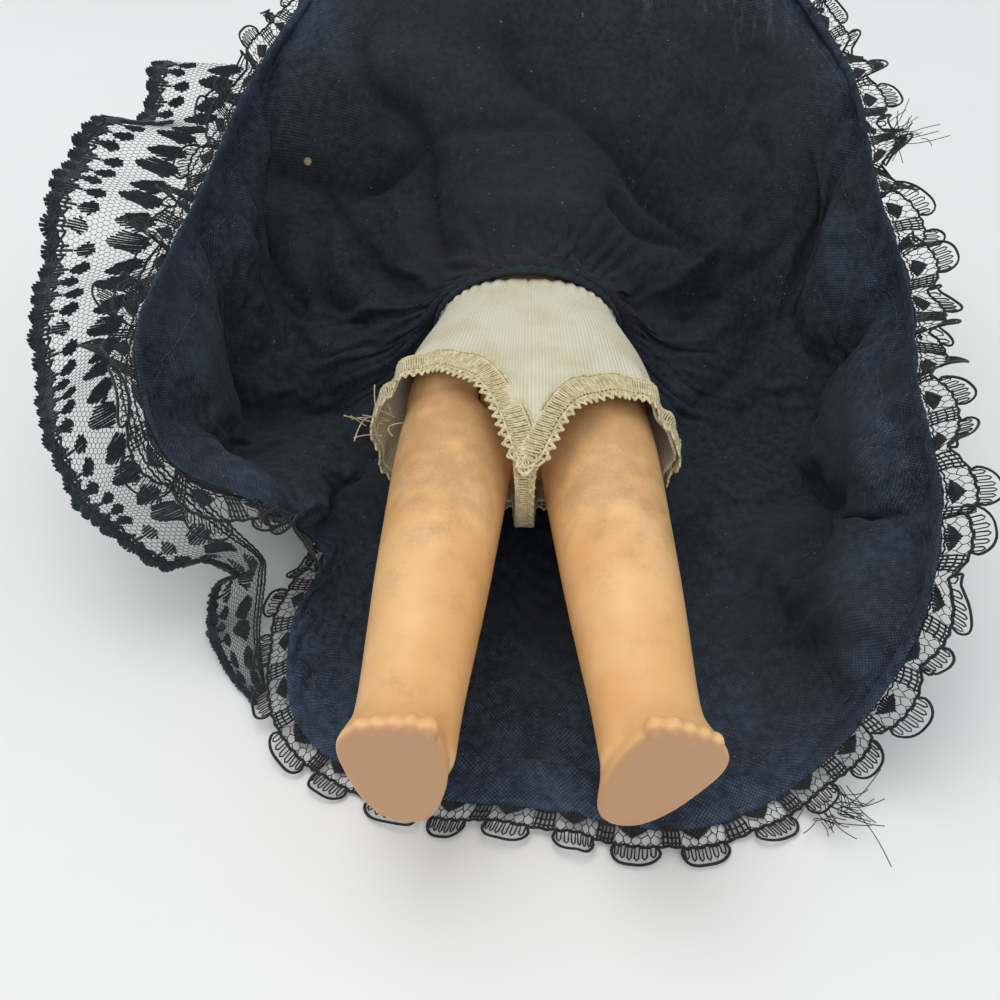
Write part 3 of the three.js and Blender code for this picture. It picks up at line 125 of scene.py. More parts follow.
# A sheet of quads from a grid of points [row, column]; uv in millimetres follows the cloth.
def gridMesh(name, grid, uv, wrapped, material):
    rows, columns = grid.shape[:2]
    last = columns if wrapped else columns - 1
    faces = []
    corners = []
    for r in range(rows - 1):
        for c in range(last):
            n = (c + 1) % columns
            faces.append((r * columns + c, r * columns + n, (r + 1) * columns + n, (r + 1) * columns + c))
            corners += [uv(r, c), uv(r, c + 1), uv(r + 1, c + 1), uv(r + 1, c)]
    obj = makeMesh(name, grid.reshape(-1, 3), faces, material)
    layer = obj.data.uv_layers.new(name="cloth")
    layer.data.foreach_set("uv", np.array(corners, np.float32).ravel())
    return obj


def gridNormals(grid, wrapped):
    if wrapped:
        alongU = np.roll(grid, -1, 1) - np.roll(grid, 1, 1)
    else:
        alongU = np.gradient(grid, axis=1)
    alongV = np.gradient(grid, axis=0)
    return unit(np.cross(alongU, alongV))


def addModifier(obj, kind, **settings):
    modifier = obj.modifiers.new(kind.title(), kind)
    for key, value in settings.items():
        setattr(modifier, key, value)
    return modifier


# Turns an object and its modifiers into one plain mesh.
def settle(obj):
    graph = bpy.context.evaluated_depsgraph_get()
    mesh = bpy.data.meshes.new_from_object(obj.evaluated_get(graph))
    old = obj.data
    obj.modifiers.clear()
    obj.data = mesh
    mesh.name = obj.name
    if old.users == 0:
        bpy.data.meshes.remove(old)
    return obj


def faceOutwards(mesh, dropLoose=False):
    shell = bmesh.new()
    shell.from_mesh(mesh)
    if dropLoose:
        bmesh.ops.delete(shell, geom=[v for v in shell.verts if not v.link_faces], context="VERTS")
    bmesh.ops.recalc_face_normals(shell, faces=shell.faces)
    shell.to_mesh(mesh)
    shell.free()


# Gives a sheet its thickness, in the middle of it or on its outside.
def thicken(obj, thickness, offset=0):
    addModifier(obj, "SOLIDIFY", thickness=thickness * mm, offset=offset)
    settle(obj)
    obj.data.shade_smooth()
    return obj


def fullTurn(count):
    return np.arange(count) / count * 2 * np.pi


# Rings of points joined to a closed skin with a fan over each end.
def ringSkin(rings):
    count = len(rings[0])
    points = [p for ring in rings for p in ring]
    faces = []
    for r in range(len(rings) - 1):
        for i in range(count):
            a, b = r * count + i, r * count + (i + 1) % count
            faces.append((a, b, b + count, a + count))
    points += [np.mean(rings[0], axis=0), np.mean(rings[-1], axis=0)]
    top, end = len(points) - 2, (len(rings) - 1) * count
    for i in range(count):
        faces.append((top, (i + 1) % count, i))
        faces.append((top + 1, end + i, end + (i + 1) % count))
    return np.array(points), faces


def ovalRing(y, halfWidth, halfDepth, count, x=0.0, z=0.0):
    angle = fullTurn(count)
    return np.stack([x + halfWidth * np.cos(angle), np.full(count, y), z + halfDepth * np.sin(angle)], 1)


def ballSkin(centre, radii, around=20, tall=12):
    rings = []
    for i in range(1, tall):
        polar = math.pi * i / tall
        ring = ovalRing(math.cos(polar), math.sin(polar), math.sin(polar), around)
        rings.append(np.array(centre) + ring * np.array(radii))
    points, faces = ringSkin(rings)
    points[-2] = np.array(centre) + np.array([0, radii[1], 0])
    points[-1] = np.array(centre) - np.array([0, radii[1], 0])
    return points, faces


def turned(points, matrix):
    flat = np.array(matrix)
    return points @ flat[:3, :3].T + flat[:3, 3]


# Several closed skins fused into one smooth moulding.
def moulding(name, skins, voxel, rounding, material):
    points, faces, base = [], [], 0
    for skinPoints, skinFaces in skins:
        points.append(skinPoints)
        faces += [[i + base for i in face] for face in skinFaces]
        base += len(skinPoints)
    obj = makeMesh(name, np.vstack(points), faces, material)
    faceOutwards(obj.data)
    addModifier(obj, "REMESH", mode="VOXEL", voxel_size=voxel * mm, use_smooth_shade=True)
    addModifier(obj, "SMOOTH", factor=0.5, iterations=rounding)
    return settle(obj)


# Nodes of materials and of geometry

# Links a socket to another node's output, or sets its plain value.
def feed(tree, socket, value):
    if isinstance(value, bpy.types.NodeSocket):
        tree.links.new(value, socket)
    else:
        socket.default_value = value


def addNode(tree, kind, inputs=(), **settings):
    made = tree.nodes.new(kind)
    for key, value in settings.items():
        setattr(made, key, value)
    for key, value in dict(inputs).items():
        feed(tree, made.inputs[key], value)
    return made


def mathNode(tree, operation, *values):
    return addNode(tree, "ShaderNodeMath", dict(enumerate(values)), operation=operation).outputs[0]


def vectorNode(tree, operation, *values):
    made = addNode(tree, "ShaderNodeVectorMath", operation=operation)
    for index, value in enumerate(values):
        socket = made.inputs["Scale"] if operation == "SCALE" and index == 1 else made.inputs[index]
        feed(tree, socket, value)
    return made.outputs[0]


# A number from two vectors, such as their distance.
def measureNode(tree, operation, first, second):
    return addNode(tree, "ShaderNodeVectorMath", {0: first, 1: second}, operation=operation).outputs["Value"]


def axes(tree, place):
    return addNode(tree, "ShaderNodeSeparateXYZ", {"Vector": place}).outputs


def mixColour(tree, share, first, second):
    made = addNode(tree, "ShaderNodeMix", data_type="RGBA")
    for name, value in (("Factor_Float", share), ("A_Color", first), ("B_Color", second)):
        socket = next(s for s in made.inputs if s.identifier == name)
        feed(tree, socket, (*value, 1.0) if isinstance(value, tuple) else value)
    return next(s for s in made.outputs if s.identifier == "Result_Color")


def remap(tree, value, fromLow, fromHigh, toLow=0.0, toHigh=1.0):
    return addNode(tree, "ShaderNodeMapRange", {"Value": value, "From Min": fromLow, "From Max": fromHigh,
                   "To Min": toLow, "To Max": toHigh}, interpolation_type="SMOOTHSTEP").outputs[0]


def newMaterial(name, **plain):
    material = bpy.data.materials.new(name)
    material.use_nodes = True
    tree = material.node_tree
    shader = tree.nodes["Principled BSDF"]
    for key, value in plain.items():
        shader.inputs[key.replace("_", " ")].default_value = value
    return material, tree, shader


def newGroup(name, inputs, outputs):
    tree = bpy.data.node_groups.new(name, "ShaderNodeTree")
    for label, kind, value in inputs:
        socket = tree.interface.new_socket(label, in_out="INPUT", socket_type=kind)
        if value is not None:
            socket.default_value = value
    for label, kind in outputs:
        tree.interface.new_socket(label, in_out="OUTPUT", socket_type=kind)
    return tree, tree.nodes.new("NodeGroupInput"), tree.nodes.new("NodeGroupOutput")


def useGroup(tree, group, inputs):
    return addNode(tree, "ShaderNodeGroup", inputs, node_tree=group)


def objectPlace(tree):
    return addNode(tree, "ShaderNodeTexCoord").outputs["Object"]


def clothPlace(tree):
    return addNode(tree, "ShaderNodeUVMap", uv_map="cloth").outputs["UV"]


def noiseNode(tree, place, size, detail=3.0, roughness=0.55):
    return addNode(tree, "ShaderNodeTexNoise", {"Vector": place, "Scale": 1 / (size * mm), "Detail": detail,
                   "Roughness": roughness}).outputs[0]


# Plain weave: threads over and under each other, for cloth whose uv is in millimetres.
def makeWeaveGroup():
    tree, inside, outside = newGroup(
        "plainWeave",
        [("Place", "NodeSocketVector", None), ("Thread", "NodeSocketFloat", 0.4)],
        [("Height", "NodeSocketFloat")],
    )
    often = mathNode(tree, "DIVIDE", math.pi, inside.outputs["Thread"])
    scaled = vectorNode(tree, "SCALE", inside.outputs["Place"], often)
    split = axes(tree, scaled)
    weft = mathNode(tree, "SINE", split["X"])
    warp = mathNode(tree, "SINE", split["Y"])
    height = mathNode(tree, "MULTIPLY_ADD", mathNode(tree, "MULTIPLY", weft, warp), 0.5, 0.5)
    tree.links.new(height, outside.inputs["Height"])
    return tree


# Rubbed and soiled patches, by noise at two sizes.
def makeRubGroup():
    tree, inside, outside = newGroup(
        "rubbedPatches",
        [("Place", "NodeSocketVector", None), ("Patch", "NodeSocketFloat", 120.0),
         ("Grain", "NodeSocketFloat", 1200.0), ("Cover", "NodeSocketFloat", 0.5)],
        [("Mask", "NodeSocketFloat")],
    )
    patch = addNode(tree, "ShaderNodeTexNoise", {"Vector": inside.outputs["Place"], "Scale": inside.outputs["Patch"],
                    "Detail": 4.0})
    grain = addNode(tree, "ShaderNodeTexNoise", {"Vector": inside.outputs["Place"], "Scale": inside.outputs["Grain"],
                    "Detail": 5.0, "Roughness": 0.7})
    mixed = mathNode(tree, "MULTIPLY_ADD", grain.outputs[0], 0.45, mathNode(tree, "MULTIPLY", patch.outputs[0], 0.75))
    edge = mathNode(tree, "SUBTRACT", 1.05, mathNode(tree, "MULTIPLY", inside.outputs["Cover"], 0.8))
    mask = remap(tree, mathNode(tree, "SUBTRACT", mixed, edge), -0.3, 0.12)
    tree.links.new(mask, outside.inputs["Mask"])
    return tree


weaveGroup = makeWeaveGroup()
rubGroup = makeRubGroup()


def bump(tree, shader, height, strength, distance):
    made = addNode(tree, "ShaderNodeBump", {"Height": height, "Strength": strength, "Distance": distance * mm})
    tree.links.new(made.outputs[0], shader.inputs["Normal"])


# Flesh-coloured moulded plastic; the legs are rubbed grey on their fronts and their soles are dull.
fleshLook = {
    "skin": (0.76, 0.42, 0.165),
    "pale": (0.83, 0.50, 0.225),
    "grime": (0.33, 0.185, 0.085),
    "sole": (0.50, 0.275, 0.135),
}


# What all flesh has: a satin surface and two tones.
def newFlesh(name):
    material, tree, shader = newMaterial(name, Roughness=0.42, Subsurface_Weight=0.08, Subsurface_Scale=0.004)
    place = objectPlace(tree)
    tone = remap(tree, noiseNode(tree, place, 14), 0.35, 0.65)
    bump(tree, shader, noiseNode(tree, place, 0.5), 0.08, 0.05)
    return material, tree, shader, place, mixColour(tree, tone, fleshLook["skin"], fleshLook["pale"])


def fleshMaterial(name, leg=None):
    material, tree, shader, place, colour = newFlesh(name)
    if leg:
        split = axes(tree, place)
        frontness = remap(tree, split["Z"], (bodyZ - 4) * mm, (bodyZ + 9) * mm)
        thigh = mathNode(tree, "MULTIPLY", remap(tree, split["Y"], -0.040, 0.004), frontness)
        rub = useGroup(tree, rubGroup, {"Place": place, "Patch": 230.0, "Grain": 2400.0,
                       "Cover": mathNode(tree, "MULTIPLY_ADD", thigh, 0.42, 0.2)})
        colour = mixColour(tree, mathNode(tree, "MULTIPLY", rub.outputs["Mask"], 0.52), colour, fleshLook["grime"])
        sole = mathNode(tree, "SUBTRACT", 1.0, remap(tree, soleDepth(tree, place, leg), 0.0002, 0.0011))
        colour = mixColour(tree, sole, colour, fleshLook["sole"])
        tree.links.new(mathNode(tree, "MULTIPLY_ADD", rub.outputs["Mask"], 0.25, 0.40), shader.inputs["Roughness"])
    tree.links.new(colour, shader.inputs["Base Color"])
    return material


# How far a place is from the plane of a sole, along the sole's normal.
def soleDepth(tree, place, leg):
    mount = next(m for m in frame["record"]["mounts"] if m["name"] == f"{leg}_sole")
    away = vectorNode(tree, "SUBTRACT", place, tuple(mount["pos_m"]))
    return measureNode(tree, "DOT_PRODUCT", away, tuple(-a for a in mount["axis"]))


# Black voile: faded, rusty and moth-eaten in places, worn see-through at the top; painted shade in its creases and
# towards the waist, painted light towards the hem and low down on the table
voileLook = {
    "thread": 0.34,
    "sheen": (0.55, 0.62, 0.80, 1),
    "deep": (0.0020, 0.0025, 0.0032),
    "faded": (0.0115, 0.0142, 0.0182),
    "thready": (0.040, 0.049, 0.061),
    "rusty": (0.0150, 0.0125, 0.0120),
    "lightThroughHoles": (0.17, 0.18, 0.20),
    "lint": (0.16, 0.17, 0.19),
    "fluff": (0.27, 0.22, 0.15),
    "waistTint": (0.86, 1.0, 1.08),
    "hemTint": (0.80, 1.02, 1.34),
    "mothsAt": (0.060, -0.003, 0.030),  # metres
    "fluffAt": (-0.047, 0.0778, 0.0417),
    "thinned": 0.6,  # how much of the cloth is gone in the thinnest streaks
}


def voileMaterial():
    look = voileLook
    material, tree, shader = newMaterial("blackVoile", Roughness=0.85, Sheen_Weight=0.06, Sheen_Roughness=0.5)
    shader.inputs["Specular IOR Level"].default_value = 0.25
    shader.inputs["Sheen Tint"].default_value = look["sheen"]
    place, cloth = objectPlace(tree), clothPlace(tree)
    split = axes(tree, place)
    weave = useGroup(tree, weaveGroup, {"Place": cloth, "Thread": look["thread"]})
    slub = noiseNode(tree, place, 1.3, 5.0, 0.7)
    faded = remap(tree, noiseNode(tree, place, 26, 4.0), 0.38, 0.7)
    colour = mixColour(tree, faded, look["deep"], look["faded"])
    # the weave's pattern, with its raised threads painted lighter as a painted highlight
    thready = mathNode(tree, "MULTIPLY", weave.outputs["Height"], remap(tree, slub, 0.32, 0.68, 0.2, 1.0))
    colour = mixColour(tree, thready, colour, look["thready"])
    down = axes(tree, cloth)["Y"]
    # painted shade: darker along the creases, darkest at the bottom of each
    valley = addNode(tree, "ShaderNodeAttribute", attribute_name="valley").outputs["Fac"]
    shade = mathNode(tree, "MULTIPLY_ADD", valley, -0.5, 1.16)
    shade = mathNode(tree, "MULTIPLY_ADD", mathNode(tree, "POWER", valley, 5.0), -0.62, shade)
    # painted shade towards the waist and painted light towards the hem
    shade = mathNode(tree, "MULTIPLY", shade, remap(tree, down, 50.0, 108.0, 0.66, 1.6))
    swell = mathNode(tree, "MULTIPLY_ADD", noiseNode(tree, place, 11.0, 2.5, 0.5), 2.0, -1.0)
    crumple = mathNode(tree, "ABSOLUTE", swell)
    # painted shade: darker along the lines of the small crumples
    shade = mathNode(tree, "MULTIPLY", shade, remap(tree, crumple, 0.0, 0.10, 0.80, 1.02))
    shade = mathNode(tree, "MULTIPLY", shade, remap(tree, split["Z"], 0.045, 0.004, 1.0, 1.5))  # painted light: paler low down, where the cloth lies on the table
    colour = vectorNode(tree, "SCALE", colour, shade)
    # painted light: a bluish cast of the light, strongest towards the hem
    tint = mixColour(tree, remap(tree, down, 58.0, 100.0), look["waistTint"], look["hemTint"])
    colour = vectorNode(tree, "MULTIPLY", colour, tint)
    rusty = remap(tree, noiseNode(tree, place, 31, 2.0), 0.50, 0.68)
    colour = mixColour(tree, mathNode(tree, "MULTIPLY", rusty, 0.5), colour, look["rusty"])
    # moth holes are real wear; their pale specks are painted light showing through them
    apart = measureNode(tree, "DISTANCE", place, look["mothsAt"])
    moth = mathNode(tree, "MAXIMUM", remap(tree, noiseNode(tree, place, 16, 3.0), 0.62, 0.80),
                    remap(tree, apart, 0.020, 0.006, 0.0, 0.5))
    pinholes = mathNode(tree, "MULTIPLY", moth, remap(tree, noiseNode(tree, place, 0.55, 2.0, 0.6), 0.60, 0.72))
    colour = mixColour(tree, mathNode(tree, "MULTIPLY", pinholes, 0.8), colour, look["lightThroughHoles"])
    lint = remap(tree, noiseNode(tree, place, 0.9, 1.0), 0.76, 0.80)
    colour = mixColour(tree, mathNode(tree, "MULTIPLY", lint, 0.55), colour, look["lint"])
    fluff = measureNode(tree, "DISTANCE", place, look["fluffAt"])
    colour = mixColour(tree, remap(tree, fluff, 0.0010, 0.0005), colour, look["fluff"])
    tree.links.new(colour, shader.inputs["Base Color"])
    high = remap(tree, split["Z"], 0.048, 0.075)
    leftward = remap(tree, split["X"], 0.012, 0.036)
    drawnOut = vectorNode(tree, "MULTIPLY", place, (1.0, 0.25, 0.25))
    streaks = remap(tree, noiseNode(tree, drawnOut, 2.6, 5.0, 0.7), 0.42, 0.78)
    thin = mathNode(tree, "MULTIPLY", mathNode(tree, "MULTIPLY", high, leftward), streaks)
    tree.links.new(mathNode(tree, "MULTIPLY_ADD", thin, -look["thinned"], 1.0), shader.inputs["Alpha"])
    bump(tree, shader, mathNode(tree, "MULTIPLY_ADD", crumple, 7.0, thready), 0.55, 0.14)
    return material


def threadMaterial(name, dark, light, size):
    material, tree, shader = newMaterial(name, Roughness=0.75, Sheen_Weight=0.15)
    shader.inputs["Specular IOR Level"].default_value = 0.3
    place = objectPlace(tree)
    twist = remap(tree, noiseNode(tree, place, size, 4.0, 0.7), 0.35, 0.68)
    tree.links.new(mixColour(tree, twist, dark, light), shader.inputs["Base Color"])
    bump(tree, shader, twist, 0.4, 0.08)
    return material


knitLook = {"rib": 0.62, "loop": 0.5, "cream": (0.69, 0.65, 0.49), "yellow": (0.61, 0.55, 0.36),
            "shadow": (0.38, 0.35, 0.27)}


def knitMaterial():
    look = knitLook
    material, tree, shader = newMaterial("creamKnit", Roughness=0.9, Sheen_Weight=0.25)
    place, cloth = objectPlace(tree), clothPlace(tree)
    split = axes(tree, cloth)
    rib = mathNode(tree, "SINE", mathNode(tree, "MULTIPLY", split["X"], 2 * math.pi / look["rib"]))
    loops = mathNode(tree, "SINE", mathNode(tree, "MULTIPLY", split["Y"], 2 * math.pi / look["loop"]))
    height = mathNode(tree, "MULTIPLY_ADD", mathNode(tree, "MULTIPLY_ADD", loops, 0.25, rib), 0.4, 0.5)
    yellow = remap(tree, noiseNode(tree, place, 9, 4.0), 0.42, 0.68)
    colour = mixColour(tree, yellow, look["cream"], look["yellow"])
    sunk = mathNode(tree, "MULTIPLY", mathNode(tree, "SUBTRACT", 1.0, height), 0.35)
    colour = mixColour(tree, sunk, colour, look["shadow"])
    tree.links.new(colour, shader.inputs["Base Color"])
    bump(tree, shader, height, 0.5, 0.25)
    return material


def steelMaterial(name, colour, roughness):
    material, tree, shader = newMaterial(name, Metallic=1.0)
    place = objectPlace(tree)
    smear = remap(tree, noiseNode(tree, place, 2.5, 5.0), 0.3, 0.7, roughness - 0.1, roughness + 0.15)
    tree.links.new(smear, shader.inputs["Roughness"])
    rust = remap(tree, noiseNode(tree, place, 6, 4.0), 0.62, 0.75)
    tree.links.new(mixColour(tree, rust, colour, (0.16, 0.09, 0.05)), shader.inputs["Base Color"])
    return material


def elasticMaterial():
    material, tree, shader = newMaterial("coveredElastic", Roughness=0.85)
    place = objectPlace(tree)
    ridges = addNode(tree, "ShaderNodeTexWave", {"Vector": place, "Scale": 500.0, "Distortion": 1.5})
    colour = mixColour(tree, ridges.outputs["Fac"], (0.52, 0.46, 0.32), (0.72, 0.66, 0.50))
    tree.links.new(colour, shader.inputs["Base Color"])
    bump(tree, shader, ridges.outputs["Fac"], 0.5, 0.1)
    return material


fleshPlain = fleshMaterial("fleshPlastic")
voile = voileMaterial()
blackThread = threadMaterial("blackThread", (0.0045, 0.0055, 0.007), (0.020, 0.024, 0.028), 0.7)
flounceThread = threadMaterial("flounceThread", (0.005, 0.0095, 0.0105), (0.020, 0.033, 0.036), 0.7)
hemThread = threadMaterial("hemThread", (0.020, 0.023, 0.030), (0.070, 0.075, 0.090), 0.5)
creamThread = threadMaterial("creamThread", (0.50, 0.415, 0.22), (0.76, 0.68, 0.44), 0.9)
maroonThread = threadMaterial("maroonThread", (0.030, 0.006, 0.010), (0.065, 0.012, 0.018), 0.5)
knit = knitMaterial()
steel = steelMaterial("steelWire", (0.45, 0.45, 0.44), 0.32)
lead = steelMaterial("castWeight", (0.17, 0.17, 0.18), 0.6)
elastic = elasticMaterial()
print("materials made")


# Thread and lace: a flat pattern repeated along a guide and bent to it, threads spun round at the end.
# The guide is a line of points with two vectors each: across the lace, and out of its face.

def newThreadTree(name, sockets):
    tree = bpy.data.node_groups.new(name, "GeometryNodeTree")
    for label, kind in sockets:
        tree.interface.new_socket(label, in_out="INPUT", socket_type=kind)
    tree.interface.new_socket("Geometry", in_out="OUTPUT", socket_type="NodeSocketGeometry")
    return tree, tree.nodes.new("NodeGroupInput").outputs


def makeLaceTree():
    tree, inside = newThreadTree("laceAlongGuide", [
        ("Threads", "NodeSocketObject"), ("Guide", "NodeSocketObject"), ("Repeats", "NodeSocketInt"),
        ("Period", "NodeSocketFloat"), ("Thread sides", "NodeSocketInt"), ("Material", "NodeSocketMaterial"),
    ])
    guide = addNode(tree, "GeometryNodeObjectInfo", {"Object": inside["Guide"]}).outputs["Geometry"]
    path = addNode(tree, "GeometryNodeMeshToCurve", {"Mesh": guide}).outputs["Curve"]
    step = addNode(tree, "ShaderNodeCombineXYZ", {"X": inside["Period"]}).outputs[0]
    line = addNode(tree, "GeometryNodeMeshLine", {"Count": inside["Repeats"], "Offset": step}, mode="OFFSET")
    whole = mathNode(tree, "MULTIPLY", inside["Period"], inside["Repeats"])
    flat = axes(tree, addNode(tree, "GeometryNodeInputPosition").outputs[0])
    share = mathNode(tree, "DIVIDE", flat["X"], whole)

    def sampled(label):
        vector = addNode(tree, "GeometryNodeInputNamedAttribute", {"Name": label}, data_type="FLOAT_VECTOR")
        made = addNode(tree, "GeometryNodeSampleCurve", data_type="FLOAT_VECTOR", mode="FACTOR")
        tree.links.new(path, made.inputs["Curves"])
        tree.links.new(vector.outputs["Attribute"], made.inputs["Value"])
        tree.links.new(share, made.inputs["Factor"])
        return made

    across, out = sampled("across"), sampled("out")
    place = vectorNode(tree, "ADD", across.outputs["Position"],
                       vectorNode(tree, "SCALE", across.outputs["Value"], flat["Y"]))
    place = vectorNode(tree, "ADD", place, vectorNode(tree, "SCALE", out.outputs["Value"], flat["Z"]))

    pattern = addNode(tree, "GeometryNodeObjectInfo", {"Object": inside["Threads"]}).outputs["Geometry"]
    repeated = addNode(tree, "GeometryNodeInstanceOnPoints", {"Points": line.outputs[0], "Instance": pattern})
    plain = addNode(tree, "GeometryNodeRealizeInstances", {"Geometry": repeated.outputs[0]})
    bent = addNode(tree, "GeometryNodeSetPosition", {"Geometry": plain.outputs[0], "Position": place})
    finishThreads(tree, bent.outputs[0], inside)
    return tree


# Last nodes of a tree of threads: lines spun round at their own thickness.
def finishThreads(tree, lines, inside):
    strands = addNode(tree, "GeometryNodeMeshToCurve", {"Mesh": lines}).outputs["Curve"]
    thick = addNode(tree, "GeometryNodeInputNamedAttribute", {"Name": "thick"}, data_type="FLOAT")
    ring = addNode(tree, "GeometryNodeCurvePrimitiveCircle", {"Resolution": inside["Thread sides"], "Radius": 1.0})
    spun = addNode(tree, "GeometryNodeCurveToMesh", {"Curve": strands, "Profile Curve": ring.outputs["Curve"],
                   "Scale": thick.outputs["Attribute"], "Fill Caps": True})
    real = addNode(tree, "GeometryNodeRealizeInstances", {"Geometry": spun.outputs[0]})
    painted = addNode(tree, "GeometryNodeSetMaterial", {"Geometry": real.outputs[0], "Material": inside["Material"]})
    outside = tree.nodes.new("NodeGroupOutput")
    tree.links.new(painted.outputs[0], outside.inputs[0])


def makeSpinTree():
    tree, inside = newThreadTree("spunThreads", [
        ("Threads", "NodeSocketObject"), ("Thread sides", "NodeSocketInt"), ("Material", "NodeSocketMaterial"),
    ])
    lines = addNode(tree, "GeometryNodeObjectInfo", {"Object": inside["Threads"]}).outputs["Geometry"]
    finishThreads(tree, lines, inside)
    return tree


laceTree = makeLaceTree()
spinTree = makeSpinTree()


# Threads of a flat pattern: each is a list of points [along, across, (out)] and a radius.
def threadPattern(name, strands):
    points, edges, thick = [], [], []
    for line, radius in strands:
        start = len(points)
        points += [(*p, 0.0)[:3] for p in line]
        edges += [(start + i, start + i + 1) for i in range(len(line) - 1)]
        thick += [radius * mm] * len(line)
    obj = makeMesh(name, points, [], edges=edges)
    attribute = obj.data.attributes.new("thick", "FLOAT", "POINT")
    attribute.data.foreach_set("value", np.array(thick, np.float32))
    return obj


def guideLine(name, points, across, out, closed):
    count = len(points)
    edges = [(i, i + 1) for i in range(count - 1)] + ([(count - 1, 0)] if closed else [])
    obj = makeMesh(name, points, [], edges=edges)
    for label, vectors in (("across", across), ("out", out)):
        attribute = obj.data.attributes.new(label, "FLOAT_VECTOR", "POINT")
        attribute.data.foreach_set("vector", np.array(vectors, np.float32).ravel())
    return obj


# A piece made by a tree, from values named as the tree's inputs.
def grown(name, tree, values):
    obj = makeMesh(name, [(0, 0, 0)], [])
    modifier = addModifier(obj, "NODES", node_group=tree)
    keys = {s.name: s.identifier for s in tree.interface.items_tree if s.in_out == "INPUT"}
    for label, value in values.items():
        modifier[keys[label]] = value
    settle(obj)
    obj.data.shade_smooth()
    for helper in values.values():
        if isinstance(helper, bpy.types.Object):
            bpy.data.objects.remove(helper)
    return obj


def layLace(name, strands, guide, repeats, period, material, threadSides=4):
    pattern = threadPattern(name + "Pattern", strands)
    return grown(name, laceTree, {"Threads": pattern, "Guide": guide, "Repeats": repeats, "Period": period * mm,
                 "Thread sides": threadSides, "Material": material})


# Threads laid one by one: each is a list of places and a radius.
def spinThreads(name, strands, material, threadSides=4):
    return grown(name, spinTree, {"Threads": threadPattern(name + "Lines", strands), "Thread sides": threadSides,
                 "Material": material})


def arc(centre, radii, start, end, steps):
    angles = np.radians(np.linspace(start, end, steps + 1))
    return [(centre[0] + radii[0] * math.cos(a), centre[1] + radii[1] * math.sin(a)) for a in angles]


# Skirt: gathered into the waistband, spread open like a bowl, its front thrown up over the body
skirtLook = {
    "columns": 432,
    "rows": 88,
    "thickness": 0.3,
    "spare": 0.09,  # cloth that the buckling has to take up
    "steps": 14,
    "mostShift": 3.0,
    "puff": 4.0,
    "folds": 11,
    "foldDepth": 1.2,
    "gathers": 46,
    "room": [((-32, 93, 50), (-0.2, -0.5, 0.85), 6.5, 9.0)],  # cloth held clear of the raised hand
    "hemTurnUp": 8.5,  # width of the sewn hem
    "drop": 115,  # cloth from waist to hem, that the sewn hem is a share of
    "shift": (2, 0, 0),  # its middle from the body's
    # hem, then the place that the cloth bellies towards on its way there
    "stations": [
        ([1, -51, 1], [0, 5, -6]),  # under the legs, flat on the table
        ([23, -52.5, 1], [16, 3, -6]),
        ([45, -42, 4], [36, 2, -6]),
        ([54, -35, 20], [50, 2, -9]),  # left side, turning up off the table
        ([60, -16, 32.5], [60, 8, -12]),
        ([62, 8, 38], [66, 22, -16]),
        ([65, 36, 42], [72, 38, -14]),
        ([65, 70, 50], [66, 58, -4]),
        ([62, 102, 61], [48, 80, 20]),
        ([38, 121, 83], [24, 86, 42]),
        ([-3, 126, 94], [0, 88, 48]),  # front, standing over the head
        ([-34, 120, 82], [-24, 86, 42]),
        ([-52, 108, 64], [-44, 78, 22]),
        ([-61, 82, 56], [-64, 64, 0]),
        ([-62.5, 56, 50], [-72, 46, -12]),
        ([-65, 27, 47.5], [-74, 30, -18]),  # right side
        ([-62.5, 1, 45], [-68, 18, -14]),
        ([-57, -12, 34], [-58, 12, -8]),
        ([-47, -9.5, 24], [-49, 12, -6]),
        ([-39.5, -2.5, 11], [-43, 12.5, -3]),  # deep fold where the wall meets the table
        ([-37, -2.5, 5.5], [-33, 12, -2]),
        ([-38.5, -8, 4], [-27, 8, -4]),
        ([-41, -18, 3.5], [-25, 5, -5]),
        ([-37, -37, 2], [-22, 4, -6]),
        ([-19, -47.5, 1.2], [-13, 5, -6]),
    ],
}
skirtShift = np.array(skirtLook["shift"])
hemCurve = spline([skirtShift + hem for hem, belly in skirtLook["stations"]], closed=True)
bellyCurve = spline([skirtShift + belly for hem, belly in skirtLook["stations"]], closed=True)
hemSteps = np.linspace(0, 1, 201)
hemLengths = lengthAlong(hemCurve(hemSteps))
hemLength = hemLengths[-1]
bandBox = np.array(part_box("waistband"))
waistHalf = (bandBox[1] - bandBox[0]) / 2 / mm + 0.2


# A point of the skirt: u once round from under the legs by way of the doll's left, v from waist to hem.
def skirtPoint(u, v):
    u, v = np.broadcast_arrays(np.asarray(u, float), np.asarray(v, float))
    shape, u, v = u.shape, u.ravel() % 1.0, v.ravel()
    t = np.interp(u * hemLength, hemLengths, hemSteps)
    angle = (u - 0.25) * 2 * np.pi
    waist = np.stack([waistHalf[0] * np.cos(angle), np.full(len(u), waistY), bodyZ + waistHalf[2] * np.sin(angle)], 1)
    s = v[:, None]
    point = waist * (1 - s) ** 2 + bellyCurve(t) * 2 * s * (1 - s) + hemCurve(t) * s**2
    fold = skirtLook["foldDepth"] * np.sin(v * np.pi * 0.8) * np.sin(angle * skirtLook["folds"] + 3 * v)
    away = unit(np.stack([np.cos(angle), np.full(len(u), -0.6), np.sin(angle)], 1))
    point = point + away * fold[:, None]
    point[:, 2] = np.maximum(point[:, 2], 0.5)
    return point.reshape(*shape, 3)


